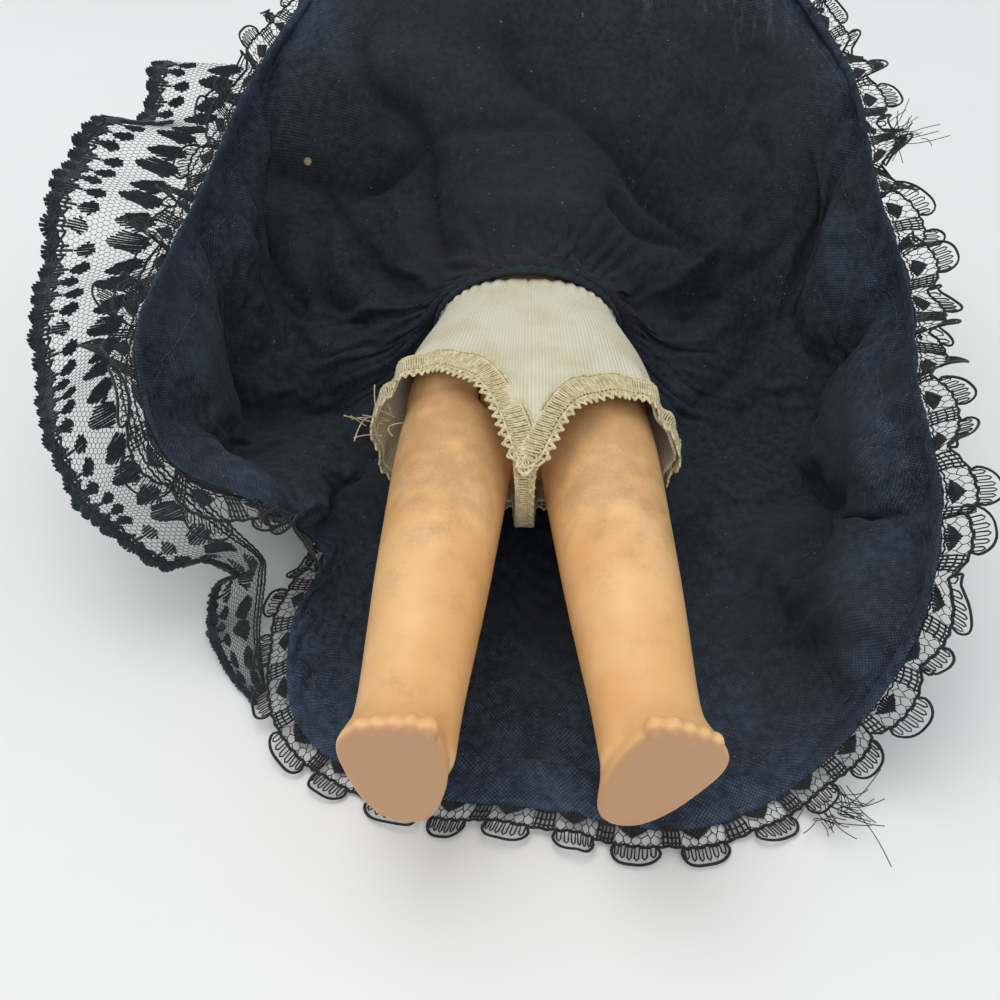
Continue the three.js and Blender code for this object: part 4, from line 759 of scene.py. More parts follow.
# The cloth was left in puffs with creases between them: how deep a crease goes, its width, and its line.
skirtCreases = [
    (1.0, 4.0, [(0.565, 0.72), (0.565, 0.61), (0.556, 0.52), (0.552, 0.42), (0.560, 0.30), (0.572, 0.19),
                (0.590, 0.10)]),
    (1.0, 4.0, [(0.618, 0.69), (0.600, 0.54), (0.582, 0.45), (0.565, 0.425), (0.553, 0.43)]),
    (1.0, 4.0, [(0.602, 0.55), (0.602, 0.36), (0.615, 0.18), (0.642, 0.08)]),
    (0.7, 3.5, [(0.640, 0.63), (0.642, 0.49), (0.645, 0.39)]),
    (0.8, 3.5, [(0.602, 0.54), (0.612, 0.45), (0.630, 0.38), (0.650, 0.20)]),
    (1.0, 6.0, [(0.712, 0.80), (0.718, 0.70), (0.722, 0.55), (0.730, 0.39), (0.740, 0.26), (0.760, 0.21)]),
    (1.0, 4.0, [(0.465, 0.43), (0.438, 0.36), (0.405, 0.31), (0.370, 0.32), (0.352, 0.34), (0.334, 0.25),
                (0.330, 0.10)]),
    (0.9, 3.0, [(0.422, 0.24), (0.392, 0.225), (0.365, 0.29), (0.350, 0.31)]),
    (0.8, 4.0, [(0.503, 0.59), (0.500, 0.51), (0.470, 0.43)]),
    (0.6, 3.0, [(0.548, 0.43), (0.518, 0.39), (0.485, 0.39), (0.465, 0.39)]),
    (0.9, 3.5, [(0.385, 0.10), (0.360, 0.10), (0.335, 0.14), (0.320, 0.20), (0.332, 0.28)]),
    (0.7, 5.0, [(0.372, 0.49), (0.358, 0.50), (0.350, 0.44)]),
    (0.8, 5.0, [(0.300, 0.36), (0.270, 0.26), (0.238, 0.19), (0.173, 0.15)]),
]
# Edges that the cloth is folded over, standing up.
skirtRidges = [
    (1.6, 6.0, [(0.555, 0.80), (0.588, 0.78), (0.620, 0.78), (0.660, 0.84), (0.688, 0.85), (0.708, 0.82)]),
    (1.8, 7.0, [(0.345, 0.62), (0.320, 0.50), (0.290, 0.40), (0.230, 0.25), (0.165, 0.20)]),
]


# How far each line of a list reaches at some places, from 1 on the line down to 0.
def lineReach(flat, lines):
    for strength, width, line in lines:
        line = spline(skirtPoint(*np.array(line).T))(np.linspace(0, 1, 30))
        apart = np.min([np.linalg.norm(flat - p, axis=1) for p in line], axis=0)
        yield strength * np.exp(-apart / width)


# The cloth is a little too large for its place, so it buckles into creases between waist and hem.
def buckled(grid):
    rows, columns = grid.shape[:2]
    draft = gridMesh("skirtDraft", grid, lambda r, c: (0, 0), True, None)
    held = draft.vertex_groups.new(name="held")
    weight = np.zeros((rows, columns))
    weight[:2] = weight[-2:] = 1.0
    weight = np.maximum(weight, 0.9 * (1 - smoothStep(grid[..., 2], 0.6, 5.0)))
    for index, value in enumerate(weight.ravel()):
        held.add([index], float(value), "REPLACE")
    cloth = addModifier(draft, "CLOTH")
    settings = cloth.settings
    settings.quality = 6
    settings.mass = 0.05
    settings.tension_stiffness = settings.compression_stiffness = 12
    settings.shear_stiffness = 6
    settings.bending_stiffness = 0.02
    settings.air_damping = 4
    settings.vertex_group_mass = "held"
    settings.pin_stiffness = 1.0
    settings.shrink_min = settings.shrink_max = -skirtLook["spare"]
    settings.effector_weights.gravity = 0
    cloth.collision_settings.use_collision = False
    for step in range(1, skirtLook["steps"] + 1):
        scene.frame_set(step)
    graph = bpy.context.evaluated_depsgraph_get()
    moved = draft.evaluated_get(graph).to_mesh()
    points = np.empty(len(moved.vertices) * 3)
    moved.vertices.foreach_get("co", points)
    shift = points.reshape(grid.shape) / mm - grid
    far = np.linalg.norm(shift, axis=-1, keepdims=True)
    shift *= np.minimum(1, skirtLook["mostShift"] / np.maximum(far, 1e-6))
    scene.frame_set(1)
    bpy.data.objects.remove(draft)
    return grid + shift


# Twice as many points each way, along smooth curves.
def finer(grid):
    rows, columns = grid.shape[:2]
    wide = np.stack([spline(row, closed=True)(np.arange(2 * columns) / (2 * columns)) for row in grid])
    at = np.linspace(0, 1, 2 * rows - 1)
    return np.stack([spline(wide[:, c])(at) for c in range(2 * columns)], axis=1)


def skirtGrid():
    columns, rows = skirtLook["columns"] // 2, skirtLook["rows"] // 2
    u = np.arange(columns) / columns
    v = np.linspace(0, 1, rows + 1)
    base = skirtPoint(u[None, :], v[:, None])
    uu, vv = np.meshgrid(u, v)
    depth = vv.ravel()
    rings = np.stack([np.cos(uu * 2 * np.pi), np.sin(uu * 2 * np.pi), 0.7 * vv], -1).reshape(-1, 3)
    gathers = np.sin(uu.ravel() * 2 * np.pi * skirtLook["gathers"] + 7 * noiseAt(rings * 5, 1.0, 4))
    offset = 0.45 * gathers * smoothStep(depth, 0.015, 0.05) * (1 - smoothStep(depth, 0.06, 0.3))
    grid = base + gridNormals(base, True) * offset.reshape(uu.shape)[..., None]
    shift = finer(buckled(grid)) - finer(base)
    base = finer(base)
    flat = base.reshape(-1, 3)
    valley = np.max(list(lineReach(flat, skirtCreases)), axis=0).reshape(base.shape[:2])
    ridge = np.max(list(lineReach(flat, skirtRidges)), axis=0).reshape(base.shape[:2])
    small = noiseAt(flat, 3.2, 3).reshape(base.shape[:2])
    down = np.linspace(0, 1, base.shape[0])[:, None]
    free = smoothStep(down, 0.06, 0.2) * (1 - smoothStep(down, 0.84, 0.97)) * smoothStep(base[..., 2], 2.0, 12.0)
    offset = -free * (skirtLook["puff"] * (1 - valley) + ridge)
    offset += 0.22 * small * smoothStep(down, 0.03, 0.1) * (1 - smoothStep(down, 0.93, 0.99))
    turnUp = 1 - skirtLook["hemTurnUp"] / skirtLook["drop"]
    offset -= 0.3 * smoothStep(down, turnUp - 0.004, turnUp + 0.004) * (1 - smoothStep(down, 0.985, 1.0))
    grid = base + shift + gridNormals(base, True) * offset[..., None]
    for place, way, reach, spread in skirtLook["room"]:
        near = np.exp(-np.sum((grid - place) ** 2, -1) / (2 * spread**2))
        grid = grid + reach * near[..., None] * unit(np.array(way))
    grid[..., 2] = np.maximum(grid[..., 2], 0.3)
    return grid, valley * free


skirtRows, skirtCreaseShade = skirtGrid()


def makeSkirt():
    columns = skirtLook["columns"]
    lengths = np.array([lengthAlong(skirtRows[:, c]) for c in range(0, columns, 20)])
    drop = lengths.mean(axis=0)

    def place(row, column):
        return (column / columns * hemLength, drop[row])

    obj = gridMesh("skirt_cloth", skirtRows, place, True, voile)
    # how near each point lies to a crease, used only for the painted shade in the voile's colour
    attribute = obj.data.attributes.new("valley", "FLOAT", "POINT")
    attribute.data.foreach_set("value", skirtCreaseShade.astype(np.float32).ravel())
    return thicken(obj, skirtLook["thickness"]), drop[-1]


skirtCloth, skirtDrop = makeSkirt()
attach(skirtCloth, "body")
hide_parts("skirt")
print("skirt laid out, hem", round(hemLength), "drop", round(skirtDrop))


# Hem lace: net with a dense heart, a block of bars, and a corded scallop with a row of loops
hemLaceLook = {
    "pitch": 8.8,
    "width": 7.2,
    "drawn": 8.4,  # width that the pattern is drawn at
    "net": 0.08,
    "cord": 0.24,
    "loop": 0.14,
    "bar": 0.18,
    "pleat": 12.0,  # length of hem for each gather
    "fold": 2.3,
    "stand": 1.5,
}


def hemLacePattern(period):
    look = hemLaceLook
    strands = [([(x * period / 8, 0.1 + 0.15 * (x % 2)) for x in range(9)], 0.34)]
    strands.append(([(x * period / 12, 0.75 + 0.3 * (x % 2)) for x in range(13)], 0.16))
    strands.append(([(x * period / 10, 5.0 + 0.15 * (-1) ** x) for x in range(11)], 0.26))
    for i in range(5):
        x = 0.3 + 0.56 * i
        strands.append(([(x, 0.5), (x + 0.12, 2.6), (x - 0.05, 4.9)], look["bar"]))
    for y in (1.7, 3.1, 4.2):
        strands.append(([(0.1, y), (1.4, y + 0.2), (2.8, y)], 0.15))
    left, right = 3.0, period - 0.5
    wide = right - left
    rim = [(left, 5.0), (left - 0.35, 6.4), (left + 0.08 * wide, 7.8), (left + 0.28 * wide, 8.3),
           (left + 0.5 * wide, 8.35), (left + 0.72 * wide, 8.3), (left + 0.92 * wide, 7.8), (right + 0.35, 6.4),
           (right, 5.0)]
    strands.append(([tuple(p[:2]) for p in spline([(*p, 0) for p in rim])(np.linspace(0, 1, 19))], look["cord"]))
    loops = 6
    ladder = []
    for i in range(loops):
        x = left + wide * (0.07 + 0.86 * i / (loops - 1))
        reach = 7.6 - 0.6 * abs(2 * i / (loops - 1) - 1) ** 2
        ladder += [(x - 0.28, 5.3), (x - 0.24, reach - 0.4), (x, reach), (x + 0.24, reach - 0.4), (x + 0.28, 5.3)]
    strands.append((ladder, look["loop"]))
    heart = 0.5 * (left + right) - 0.4
    for k in range(-4, 5):
        strands.append(([(heart + 0.46 * k, 0.7 + 0.20 * abs(k)), (heart + 0.28 * k, 3.5 - 0.25 * abs(k))], 0.25))
    cell = 1.2
    for r in range(3):
        for c in range(6):
            x, y = left - 0.1 + cell * (c + 0.5 * (r % 2)), 0.5 + 1.5 * r
            lean = 0.25 * math.sin(3 * c + 5 * r)
            strands.append(([(x, y), (x + lean, y + 0.75), (x + 0.5 * cell, y + 1.5)], look["net"]))
            strands.append(([(x + lean, y + 0.75), (x - 0.5 * cell, y + 1.5)], look["net"]))
    return strands


# The lace is gathered: it folds to and fro along the hem and stands out more at its edge, less where it lies flat.
def makeHemLace():
    look, count = hemLaceLook, 1600
    u = np.arange(count) / count
    circle = np.stack([np.cos(u * 2 * np.pi), np.sin(u * 2 * np.pi), u * 0], 1)
    lying = 1 - smoothStep(skirtPoint(u, np.ones(count))[:, 2], 3, 14)
    fullness = (1 - 0.72 * lying) * (0.75 + 0.9 * noiseAt(circle * 4, 1.0, 11))
    phase = 2 * np.pi * round(hemLength / look["pleat"]) * u + 3 * noiseAt(circle * 5, 1.0, 13)
    u = u + look["fold"] * fullness * np.sin(phase) / hemLength
    columns = skirtLook["columns"]
    rim = np.vstack([skirtRows[-1], skirtRows[-1], skirtRows[-1]])
    edge = np.stack([np.interp((u + 1) * columns, np.arange(3 * columns), rim[:, k]) for k in range(3)], 1)
    along = unit(edge - skirtPoint(u, np.full(count, 0.93)))
    hemwards = skirtPoint(u + 0.01, np.ones(count)) - skirtPoint(u - 0.01, np.ones(count))
    face = unit(np.cross(hemwards, along))
    stand = look["stand"] * fullness * np.cos(phase)
    edge = edge - 1.4 * along + face * (0.4 * stand)[:, None]
    outwards = unit(np.stack([hemwards[:, 1], -hemwards[:, 0], np.zeros(count)], 1))
    lift = 0.45 + 2.2 * noiseAt(circle * 10, 1.0, 5) * (1 - 0.55 * lying)
    swing = 0.8 * noiseAt(circle * 12, 1.0, 8)
    across = unit(outwards + along * lift[:, None] + unit(hemwards) * swing[:, None])
    across = across + face * (0.22 * stand)[:, None]
    bunched = np.minimum(1, np.linalg.norm(hemwards, axis=1) / (0.02 * hemLength)) ** 2
    across = across * (0.35 + 0.65 * bunched)[:, None] * look["width"] / look["drawn"]
    edge[:, 2] = np.maximum(edge[:, 2], 0.5)
    low = edge[:, 2] + across[:, 2] * look["drawn"] < 0.6
    across[low, 2] = (0.6 - edge[low, 2]) / look["drawn"]
    out = unit(np.cross(np.roll(edge, -1, 0) - np.roll(edge, 1, 0), across))
    total = lengthAlong(np.vstack([edge, edge[:1]]))[-1]
    scallops = round(total / look["pitch"])
    guide = guideLine("hemGuide", edge, across, out, True)
    period = total / scallops
    return layLace("hem_lace_threads", hemLacePattern(period), guide, scallops, period, blackThread)


hemLace = makeHemLace()
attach(hemLace, "body")
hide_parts("hem_lace")
print("hem lace laid,", len(hemLace.data.polygons), "faces")


# Wide lace flounce on the doll's right: header lines, leaf blocks, flowers and a dense scalloped edge
flounceLook = {
    "width": 24.0,
    "repeats": 16,
    "period": 12.6,
    "cell": 1.05,  # net cell across
    "net": 0.055,
    "sewnFrom": 0.615,
    "sewnTo": 0.815,
    "seam": 0.955,
    "ruffles": 9,
    "ruffle": 1.6,
    "edge": [[-84, 95, 56], [-84, 77, 52], [-92, 66, 53], [-92.5, 47, 48.5], [-90, 26, 41], [-85.5, 7.5, 34],
             [-79, -6, 26.5], [-70, -14, 18.5]],
    # the loose end, pinched in the fold: header, then edge
    "loose": [([-48, -11.3, 18], [-59.5, -14.5, 13]), ([-45.5, -11, 12.5], [-51, -12.2, 10.5]),
              ([-46, -9.7, 7], [-57, -12.4, 2]), ([-46, -18.3, 2.5], [-54, -22, 1.5]),
              ([-43.2, -30, 1.5], [-44.5, -33, 1.2])],
}


# Every dense figure is a row of satin stitches, ragged at both ends.
def flouncePattern():
    look = flounceLook
    period, cell, width = look["period"], look["cell"], look["width"]
    ragged = np.random.default_rng(7)
    strands = []
    for y in (0.9, 2.2, 3.5):
        strands.append(([(x * period / 14, y + 0.16 * (-1) ** x) for x in range(15)], 0.21))
    for y in (width - 4.2, width - 3.1, width - 2.0):
        strands.append(([(x * period / 12, y + 0.3 * (-1) ** x) for x in range(13)], 0.3))
    columns = round(period / cell)
    for r in range(int(20.5 / (0.86 * cell))):
        y = 0.2 + r * 0.86 * cell
        shift = 0.5 * cell * (r % 2)
        for c in range(columns):
            x = c * cell + shift
            strands.append(([(x, y), (x, y + 0.5 * cell), (x + 0.5 * cell, y + 0.86 * cell)], look["net"]))
            strands.append(([(x, y + 0.5 * cell), (x - 0.5 * cell, y + 0.86 * cell)], look["net"]))
    for start, count, lean, rise in ((0.03, 11, 0.9, 0.0), (0.53, 11, -0.8, 0.7)):
        for i in range(count):
            off = abs(i / (count - 1) - 0.45) * 2
            x = start * period + 0.5 * i
            low = 5.0 + 1.6 * off**2 + 0.9 * ragged.random()
            top = 12.2 + rise - 3.0 * off**2 - 0.9 * ragged.random()
            strands.append(([(x, low), (x + 0.35 * lean, 0.5 * (low + top)), (x + lean, top)], 0.23))
    for start, base, tilt in ((0.02, 14.4, 0.5), (0.36, 15.6, -0.4), (0.69, 14.0, 0.3)):
        for i in range(7):
            off = abs(i / 6 - 0.5) * 2
            x = start * period + 0.48 * i
            low = base + 0.9 * off**2 + 0.5 * ragged.random()
            top = base + 3.9 - 1.7 * off**2 - 0.5 * ragged.random()
            strands.append(([(x, low), (x + 0.5 * tilt, 0.5 * (low + top)), (x + tilt, top)], 0.25))
    for i in range(3):
        middle = (i + 0.5) * period / 3
        base = width - 3.6 + 0.9 * math.sin(middle / period * np.pi)
        for angle in np.radians(np.linspace(-100, 100, 11)):
            reach = 2.3 + 0.25 * ragged.random()
            tip = (middle + reach * math.sin(angle), base + reach * math.cos(angle))
            strands.append(([(middle + 0.5 * math.sin(angle), base), tip], 0.46))
        for across, reach in ((-1.5, 0.9), (-0.8, 1.7), (0.0, 2.6), (0.8, 1.6), (1.5, 0.8)):
            tip = (middle + 1.1 * across, base - reach - 0.5 * ragged.random())
            strands.append(([(middle + across, base + 0.8), tip], 0.34))
    return strands


def makeFlounce():
    look = flounceLook
    edge = spline([skirtShift + e for e in look["edge"] + [e for h, e in look["loose"]]])

    def sewn(u):
        seam, step = look["seam"], 1e-3
        alongU = skirtPoint(u + step, seam) - skirtPoint(u - step, seam)
        alongV = skirtPoint(u, seam + step) - skirtPoint(u, seam - step)
        return skirtPoint(u, seam) + 1.1 * unit(np.cross(alongU, alongV))

    loose = spline([sewn(np.array([look["sewnTo"]]))[0], *[skirtShift + h for h, e in look["loose"]]])
    stretch = len(look["edge"]) - 1
    sewnShare = stretch / (stretch + len(look["loose"]))
    t = np.linspace(0, 1, 400)
    header = np.where(
        (t < sewnShare)[:, None],
        sewn(look["sewnFrom"] + (look["sewnTo"] - look["sewnFrom"]) * np.minimum(t / sewnShare, 1)),
        loose((t - sewnShare) / (1 - sewnShare)),
    )
    rim = edge(t)
    rim[:, 2] = np.maximum(rim[:, 2] + look["ruffle"] * np.sin(t * look["ruffles"] * 2 * np.pi), 0.8)
    header[:, 2] = np.maximum(header[:, 2], 0.8)
    across = (rim - header) / look["width"]
    out = unit(np.cross(np.gradient(header, axis=0), across))
    guide = guideLine("flounceGuide", header, across, out, False)
    return layLace("flounce_lace", flouncePattern(), guide, look["repeats"], look["period"], flounceThread, 3)


flounce = makeFlounce()
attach(flounce, "body")
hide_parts("lace_flounce")
print("flounce laid,", len(flounce.data.polygons), "faces")


# Machine stitches along the hem and round the waist seam
stitchLook = {"hem": {"v": 0.922, "period": 1.9, "length": 1.35, "radius": 0.13},
              "waist": {"v": 0.035, "period": 1.7, "length": 1.15, "radius": 0.16}}


def makeStitches(name, look, material):
    count = 900
    u = np.arange(count) / count
    row = look["v"] * skirtLook["rows"]
    low, columns = int(row), skirtLook["columns"]
    ring = skirtRows[low] * (1 - row + low) + skirtRows[low + 1] * (row - low)
    ring = np.vstack([ring, ring[:1]])
    line = np.stack([np.interp(u * columns, np.arange(columns + 1), ring[:, k]) for k in range(3)], 1)
    below = skirtPoint(u, np.full(count, look["v"] + 0.01)) - skirtPoint(u, np.full(count, look["v"] - 0.01))
    tangent = np.roll(line, -1, 0) - np.roll(line, 1, 0)
    inward = -unit(np.cross(tangent, below))
    total = lengthAlong(np.vstack([line, line[:1]]))[-1]
    repeats = round(total / look["period"])
    period = total / repeats
    lift = skirtLook["thickness"] / 2
    stitch = [(0.0, 0, -0.1), (0.12 * period, 0, lift + 0.05), (look["length"], 0, lift + 0.05),
              (look["length"] + 0.1 * period, 0, -0.1)]
    guide = guideLine(name + "Guide", line, unit(below), inward, True)
    return layLace(name, [(stitch, look["radius"])], guide, repeats, period, material)


for seam, material in (("hem", hemThread), ("waist", maroonThread)):
    stitches = makeStitches(f"{seam}_stitches", stitchLook[seam], material)
    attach(stitches, "body")
print("stitches sewn")


# Legs: smooth mouldings with a joint disc, a foot with a flat sole and five toes
legLook = {
    "length": 76,
    "hipX": 11.5,
    "spread": {"left": 6.2, "right": 4.2},
    "toeOut": {"left": 25, "right": 5},
    "thigh": 9.9,
    "knee": 8.7,
    "calf": 8.0,
    "ankle": 7.3,
    "footLength": 21.4,
    "footWidth": 14,
    "heelWidth": 11,
    "footRise": 12,
    "heelBack": 12,
    "toe": 1.35,
    "discRadius": 11.5,
    "discReach": 13.2,
    "flat": 8.3,
}


# Outline of the sole seen from below, an egg wide at the toes, with the heel towards the inner side.
def soleRing(side, inset, count):
    look = legLook
    toe, heel = look["footWidth"] / 2, look["heelWidth"] / 2
    front, back = look["footLength"] - look["heelBack"], look["heelBack"]
    outline = spline([
        (1.08 * toe, 0.46 * front, 0), (0.94 * toe, 0.72 * front, 0), (0.58 * toe, 0.92 * front, 0), (0, front, 0),
        (-0.5 * toe, 0.98 * front, 0), (-0.80 * toe, 0.80 * front, 0), (-0.92 * toe, 0.48 * front, 0),
        (-0.90 * toe, -0.09 * back, 0), (-0.90 * heel, -0.55 * back, 0), (-0.50 * heel, -0.90 * back, 0),
        (0.05 * heel, -back, 0), (0.66 * heel, -0.89 * back, 0), (0.86 * toe, -0.54 * back, 0),
        (1.03 * toe, -0.08 * back, 0),
    ], closed=True)(np.linspace(0, 1, 181))
    length = lengthAlong(outline)
    at = np.linspace(0, length[-1], count, endpoint=False)
    x, z = np.interp(at, length, outline[:, 0]), np.interp(at, length, outline[:, 1])
    return side * x * (1 - inset / toe), z * (1 - inset / back)


# Half width and half depth of the leg at distances from the hip.
def legSizes(steps):
    look = legLook
    length = look["length"]
    return spline([
        [0, 0.95 * look["thigh"], look["thigh"]],
        [0.1 * length, look["thigh"], 1.04 * look["thigh"]],
        [0.22 * length, look["thigh"], 1.03 * look["thigh"]],
        [0.4 * length, 0.94 * look["thigh"], 0.97 * look["thigh"]],
        [0.56 * length, look["knee"], 1.04 * look["knee"]],
        [0.7 * length, look["calf"], 1.05 * look["calf"]],
        [length - look["footRise"], look["ankle"], 1.03 * look["ankle"]],
        [length - 3, 0.97 * look["ankle"], 0.98 * look["ankle"]],
    ])(np.linspace(0, 1, steps))


def footSkin(side):
    look = legLook
    sizes = legSizes(200)
    # height above the sole, how far the outline is drawn in, and how far it has turned into the leg's
    levels = [(0, 0.75, 0), (0.2, 0.3, 0), (0.7, 0, 0), (1.3, 0, 0.01), (2.0, 0.1, 0.06), (3.0, 0.2, 0.2),
              (4.2, 0.2, 0.42), (5.5, 0.2, 0.66), (7.0, 0.2, 0.86), (8.5, 0, 0.96), (10.0, 0, 1),
              (look["footRise"], 0, 1)]
    rings = []
    for height, inset, blend in levels:
        x, z = soleRing(side, inset, 64)
        angle = np.arctan2(z, x)
        width, depth = [np.interp(look["length"] - height, sizes[:, 0], sizes[:, k]) for k in (1, 2)]
        x = x + (width * np.cos(angle) - x) * blend
        z = z + (depth * np.sin(angle) - z) * blend
        rings.append(np.stack([x, np.full(64, height - look["length"]), z], 1))
    return ringSkin(rings)


def toeSkins(side):
    look = legLook
    x, z = soleRing(side, 0, 400)
    for share in np.linspace(0, 1, 5):  # 0 at the big toe, 1 at the little one
        radius = look["toe"] * (1.12 - 0.3 * share)
        across = look["footWidth"] / 2 * (-0.70 + 1.25 * share)
        top = np.max(z[np.abs(side * x - across) < 0.6])
        middle = (side * across, 1.35 - look["length"], top - 0.62 * radius)
        yield ballSkin(middle, (0.9 * radius, 1.25 * radius, radius))


def discSkin(side, radius, reach, flat):
    straight = 0.4 * reach
    levels = [(0.3 * radius, 0), (0.9 * radius, 0), (radius, 0.4), (radius, straight)]
    for a in np.radians([15, 30, 45, 60, 75, 86]):
        levels.append((radius * math.cos(a), straight + (reach - straight) * math.sin(a)))
    rings = []
    for across, out in levels:
        angle = fullTurn(48)
        rings.append(np.stack([np.full(48, side * (flat + out)), across * np.cos(angle), across * np.sin(angle)], 1))
    return ringSkin(rings)


def makeLeg(name):
    look, side = legLook, sides[name]
    length = look["length"]
    limb = ringSkin([ovalRing(-y, width, depth, 64) for y, width, depth in legSizes(60)])
    turn = (Matrix.Translation((side * look["hipX"], hipY, bodyZ))
            @ Matrix.Rotation(side * math.atan(look["spread"][name] / length), 4, "Z")
            @ Matrix.Rotation(side * math.radians(look["toeOut"][name]), 4, "Y"))
    skins = [(turned(points, turn), faces) for points, faces in (limb, footSkin(side), *toeSkins(side))]
    for points, faces in skins:
        near = np.hypot(points[:, 1] - hipY, points[:, 2] - bodyZ) < look["discRadius"] + 0.6
        inner = side * points[:, 0] < look["flat"]
        points[near & inner, 0] = side * look["flat"]
    disc = discSkin(side, look["discRadius"], look["discReach"], look["flat"])
    skins.append((disc[0] + np.array([0, hipY, bodyZ]), disc[1]))
    return moulding(f"leg_{name}_skin", skins, 0.40, 5, fleshMaterial(f"fleshLeg_{name}", name))


for name in sides:
    leg = makeLeg(name)
    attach(leg, f"{name}_leg")
    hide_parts(f"leg_{name}")
    print("leg moulded:", name, len(leg.data.polygons), "faces")


# Knickers: ribbed knit from the waist to an arched opening round each thigh, one half for each side
knickersLook = {
    "top": 43.6,
    # half width and half depth at heights along the body
    "forms": [(44, 16.3, 12.1), (36, 18.6, 12.9), (26, 21.8, 13.6), (14, 23.6, 14.1), (4, 24.2, 14.3),
              (-12, 24.6, 14.0)],
    "square": 2.5,  # how boxy the section is, 2 being an oval
    # edge of the knit, by distance from the middle of the body
    "front": {
        "left": [(0, -9), (1.6, -8.2), (3.4, -4.8), (5.6, -0.9), (8.2, 2.4), (12, 5.2), (16.3, 7.4), (20.5, 7.0),
                 (24.6, 3.5)],
        "right": [(0, -9), (1.2, -6.6), (4.0, 0.8), (8.0, 7.4), (12, 11.6), (14.8, 13.2), (19, 13.2), (24.6, 10.5)],
    },
    "back": [(0, 10), (4, 10), (10, 10), (17, 10), (21.5, 10)],
    "dip": 5.0,  # the panel sinks between the thighs
    "flare": {"left": 0.8, "right": 2.4},
    "columns": 190,
    "rows": 60,
    "lap": 0.006,  # each half runs a little way under the other
    "thickness": 0.5,
    # the gusset under the body, from the front edge to the back one: y, z, half width
    "gusset": [(-3.5, 32.6, 2.1), (-6.5, 31.6, 2.0), (-8.3, 29.5, 1.7), (-8.8, 26, 1.5), (-7, 19.5, 1.5),
               (-3, 14, 1.6), (3, 10.4, 1.9), (11, 8.6, 2.4)],
}


def edgeHeight(name, x, front):
    look = knickersLook
    points = look["front"][name]
    if not front:
        points = look["back"] + points[-1:]
    line = spline([(px, py, 0) for px, py in points])(np.linspace(0, 1, 120))
    return np.interp(x, line[:, 0], line[:, 1])


def knickersHalf(name):
    look, side = knickersLook, sides[name]
    angle = np.pi * (0.5 - np.linspace(-look["lap"], 1 + look["lap"], look["columns"] + 1))
    power = 2 / look["square"]
    outward = np.sign(np.cos(angle)) * np.abs(np.cos(angle)) ** power
    forward = np.sign(np.sin(angle)) * np.abs(np.sin(angle)) ** power
    forms = np.array(look["forms"])[::-1]
    openWidth = np.interp(5, forms[:, 0], forms[:, 1])
    reach = openWidth * np.abs(outward)
    edge = np.where(angle > 0, edgeHeight(name, reach, True), edgeHeight(name, reach, False))
    down = np.linspace(0, 1, look["rows"] + 1)[:, None]
    y = look["top"] + (edge - look["top"])[None, :] * down
    smooth = spline(forms)(np.linspace(0, 1, 100))
    width = np.interp(y, smooth[:, 0], smooth[:, 1])
    depth = np.interp(y, smooth[:, 0], smooth[:, 2])
    loose = look["flare"][name] * smoothStep(down, 0.55, 1.0) * (0.4 + 0.6 * np.abs(outward)[None, :])
    inner = smoothStep(np.abs(outward), 0.08, 0.25)[None, :]
    ripple = inner * smoothStep(down, 0.5, 1.0) * (0.4 * np.sin(angle * 11) + 0.25 * np.sin(angle * 19 + 1))[None, :]
    pucker = inner * 0.2 * np.sin(angle * 40) * (1 - smoothStep(down, 0.0, 0.16))
    tucked = 0.5 * (outward < 0)[None, :]
    x = (width + loose + ripple + pucker) * outward
    z = (depth + 0.5 * loose + ripple + pucker - tucked) * forward
    between = np.exp(-(x / 7.5) ** 2) * (1 - smoothStep(y, -9.5, 8)) * (forward > 0)
    z = z * (1 - between * look["dip"] / 14)
    return np.stack([side * x, y, bodyZ + z], -1)


def makeKnickers(name):
    look, side = knickersLook, sides[name]
    grid = knickersHalf(name)
    widths = lengthAlong(grid[look["rows"] // 3])
    obj = gridMesh(f"knickers_{name}", grid, lambda r, c: (widths[c], grid[r, c, 1]), False, knit)
    if side < 0:
        obj.data.flip_normals()
    return thicken(obj, look["thickness"]), grid


# The narrow strip between the thighs, with the lace of both legs meeting on it.
def makeGusset():
    line = spline(knickersLook["gusset"])(np.linspace(0, 1, 60))
    across = np.linspace(-1, 1, 13)
    grid = np.stack([np.stack([w * across, y + 0 * across, z + 0.35 * (across**2 - 1)], 1) for y, z, w in line])
    obj = gridMesh("knickers_gusset", grid, lambda r, c: (grid[r, c, 0], r * 0.7), False, knit)
    thicken(obj, knickersLook["thickness"])
    middle = np.stack([0 * line[:, 0], line[:, 0], line[:, 1]], 1)
    out = unit(np.cross((1.0, 0, 0), np.gradient(middle, axis=0)))
    out = out * np.sign(out[0, 2])
    edge = middle + 0.5 * out - np.outer(line[:, 2], (1, 0, 0))
    return obj, edge, line[:, 2] * 2, out


# Cloth round a leg opening has its placing baked into its points, on no moving part; the middle panel stays with the
# body.
def followLeg(obj, name):
    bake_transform(obj)


knickersGrids, knickersCloth = {}, {}
for name in sides:
    half, knickersGrids[name] = makeKnickers(name)
    followLeg(half, name)
    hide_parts("knickers", "knickers_elastic")
    knickersCloth[name] = half
gusset, gussetEdge, gussetWidths, gussetOut = makeGusset()
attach(gusset, "body")
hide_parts("knickers")
print("knickers sewn")


# Loop lace round the leg openings
legLaceLook = {"width": 6.2, "period": 1.9, "cord": 0.25, "loop": 0.21, "lap": 4.3}


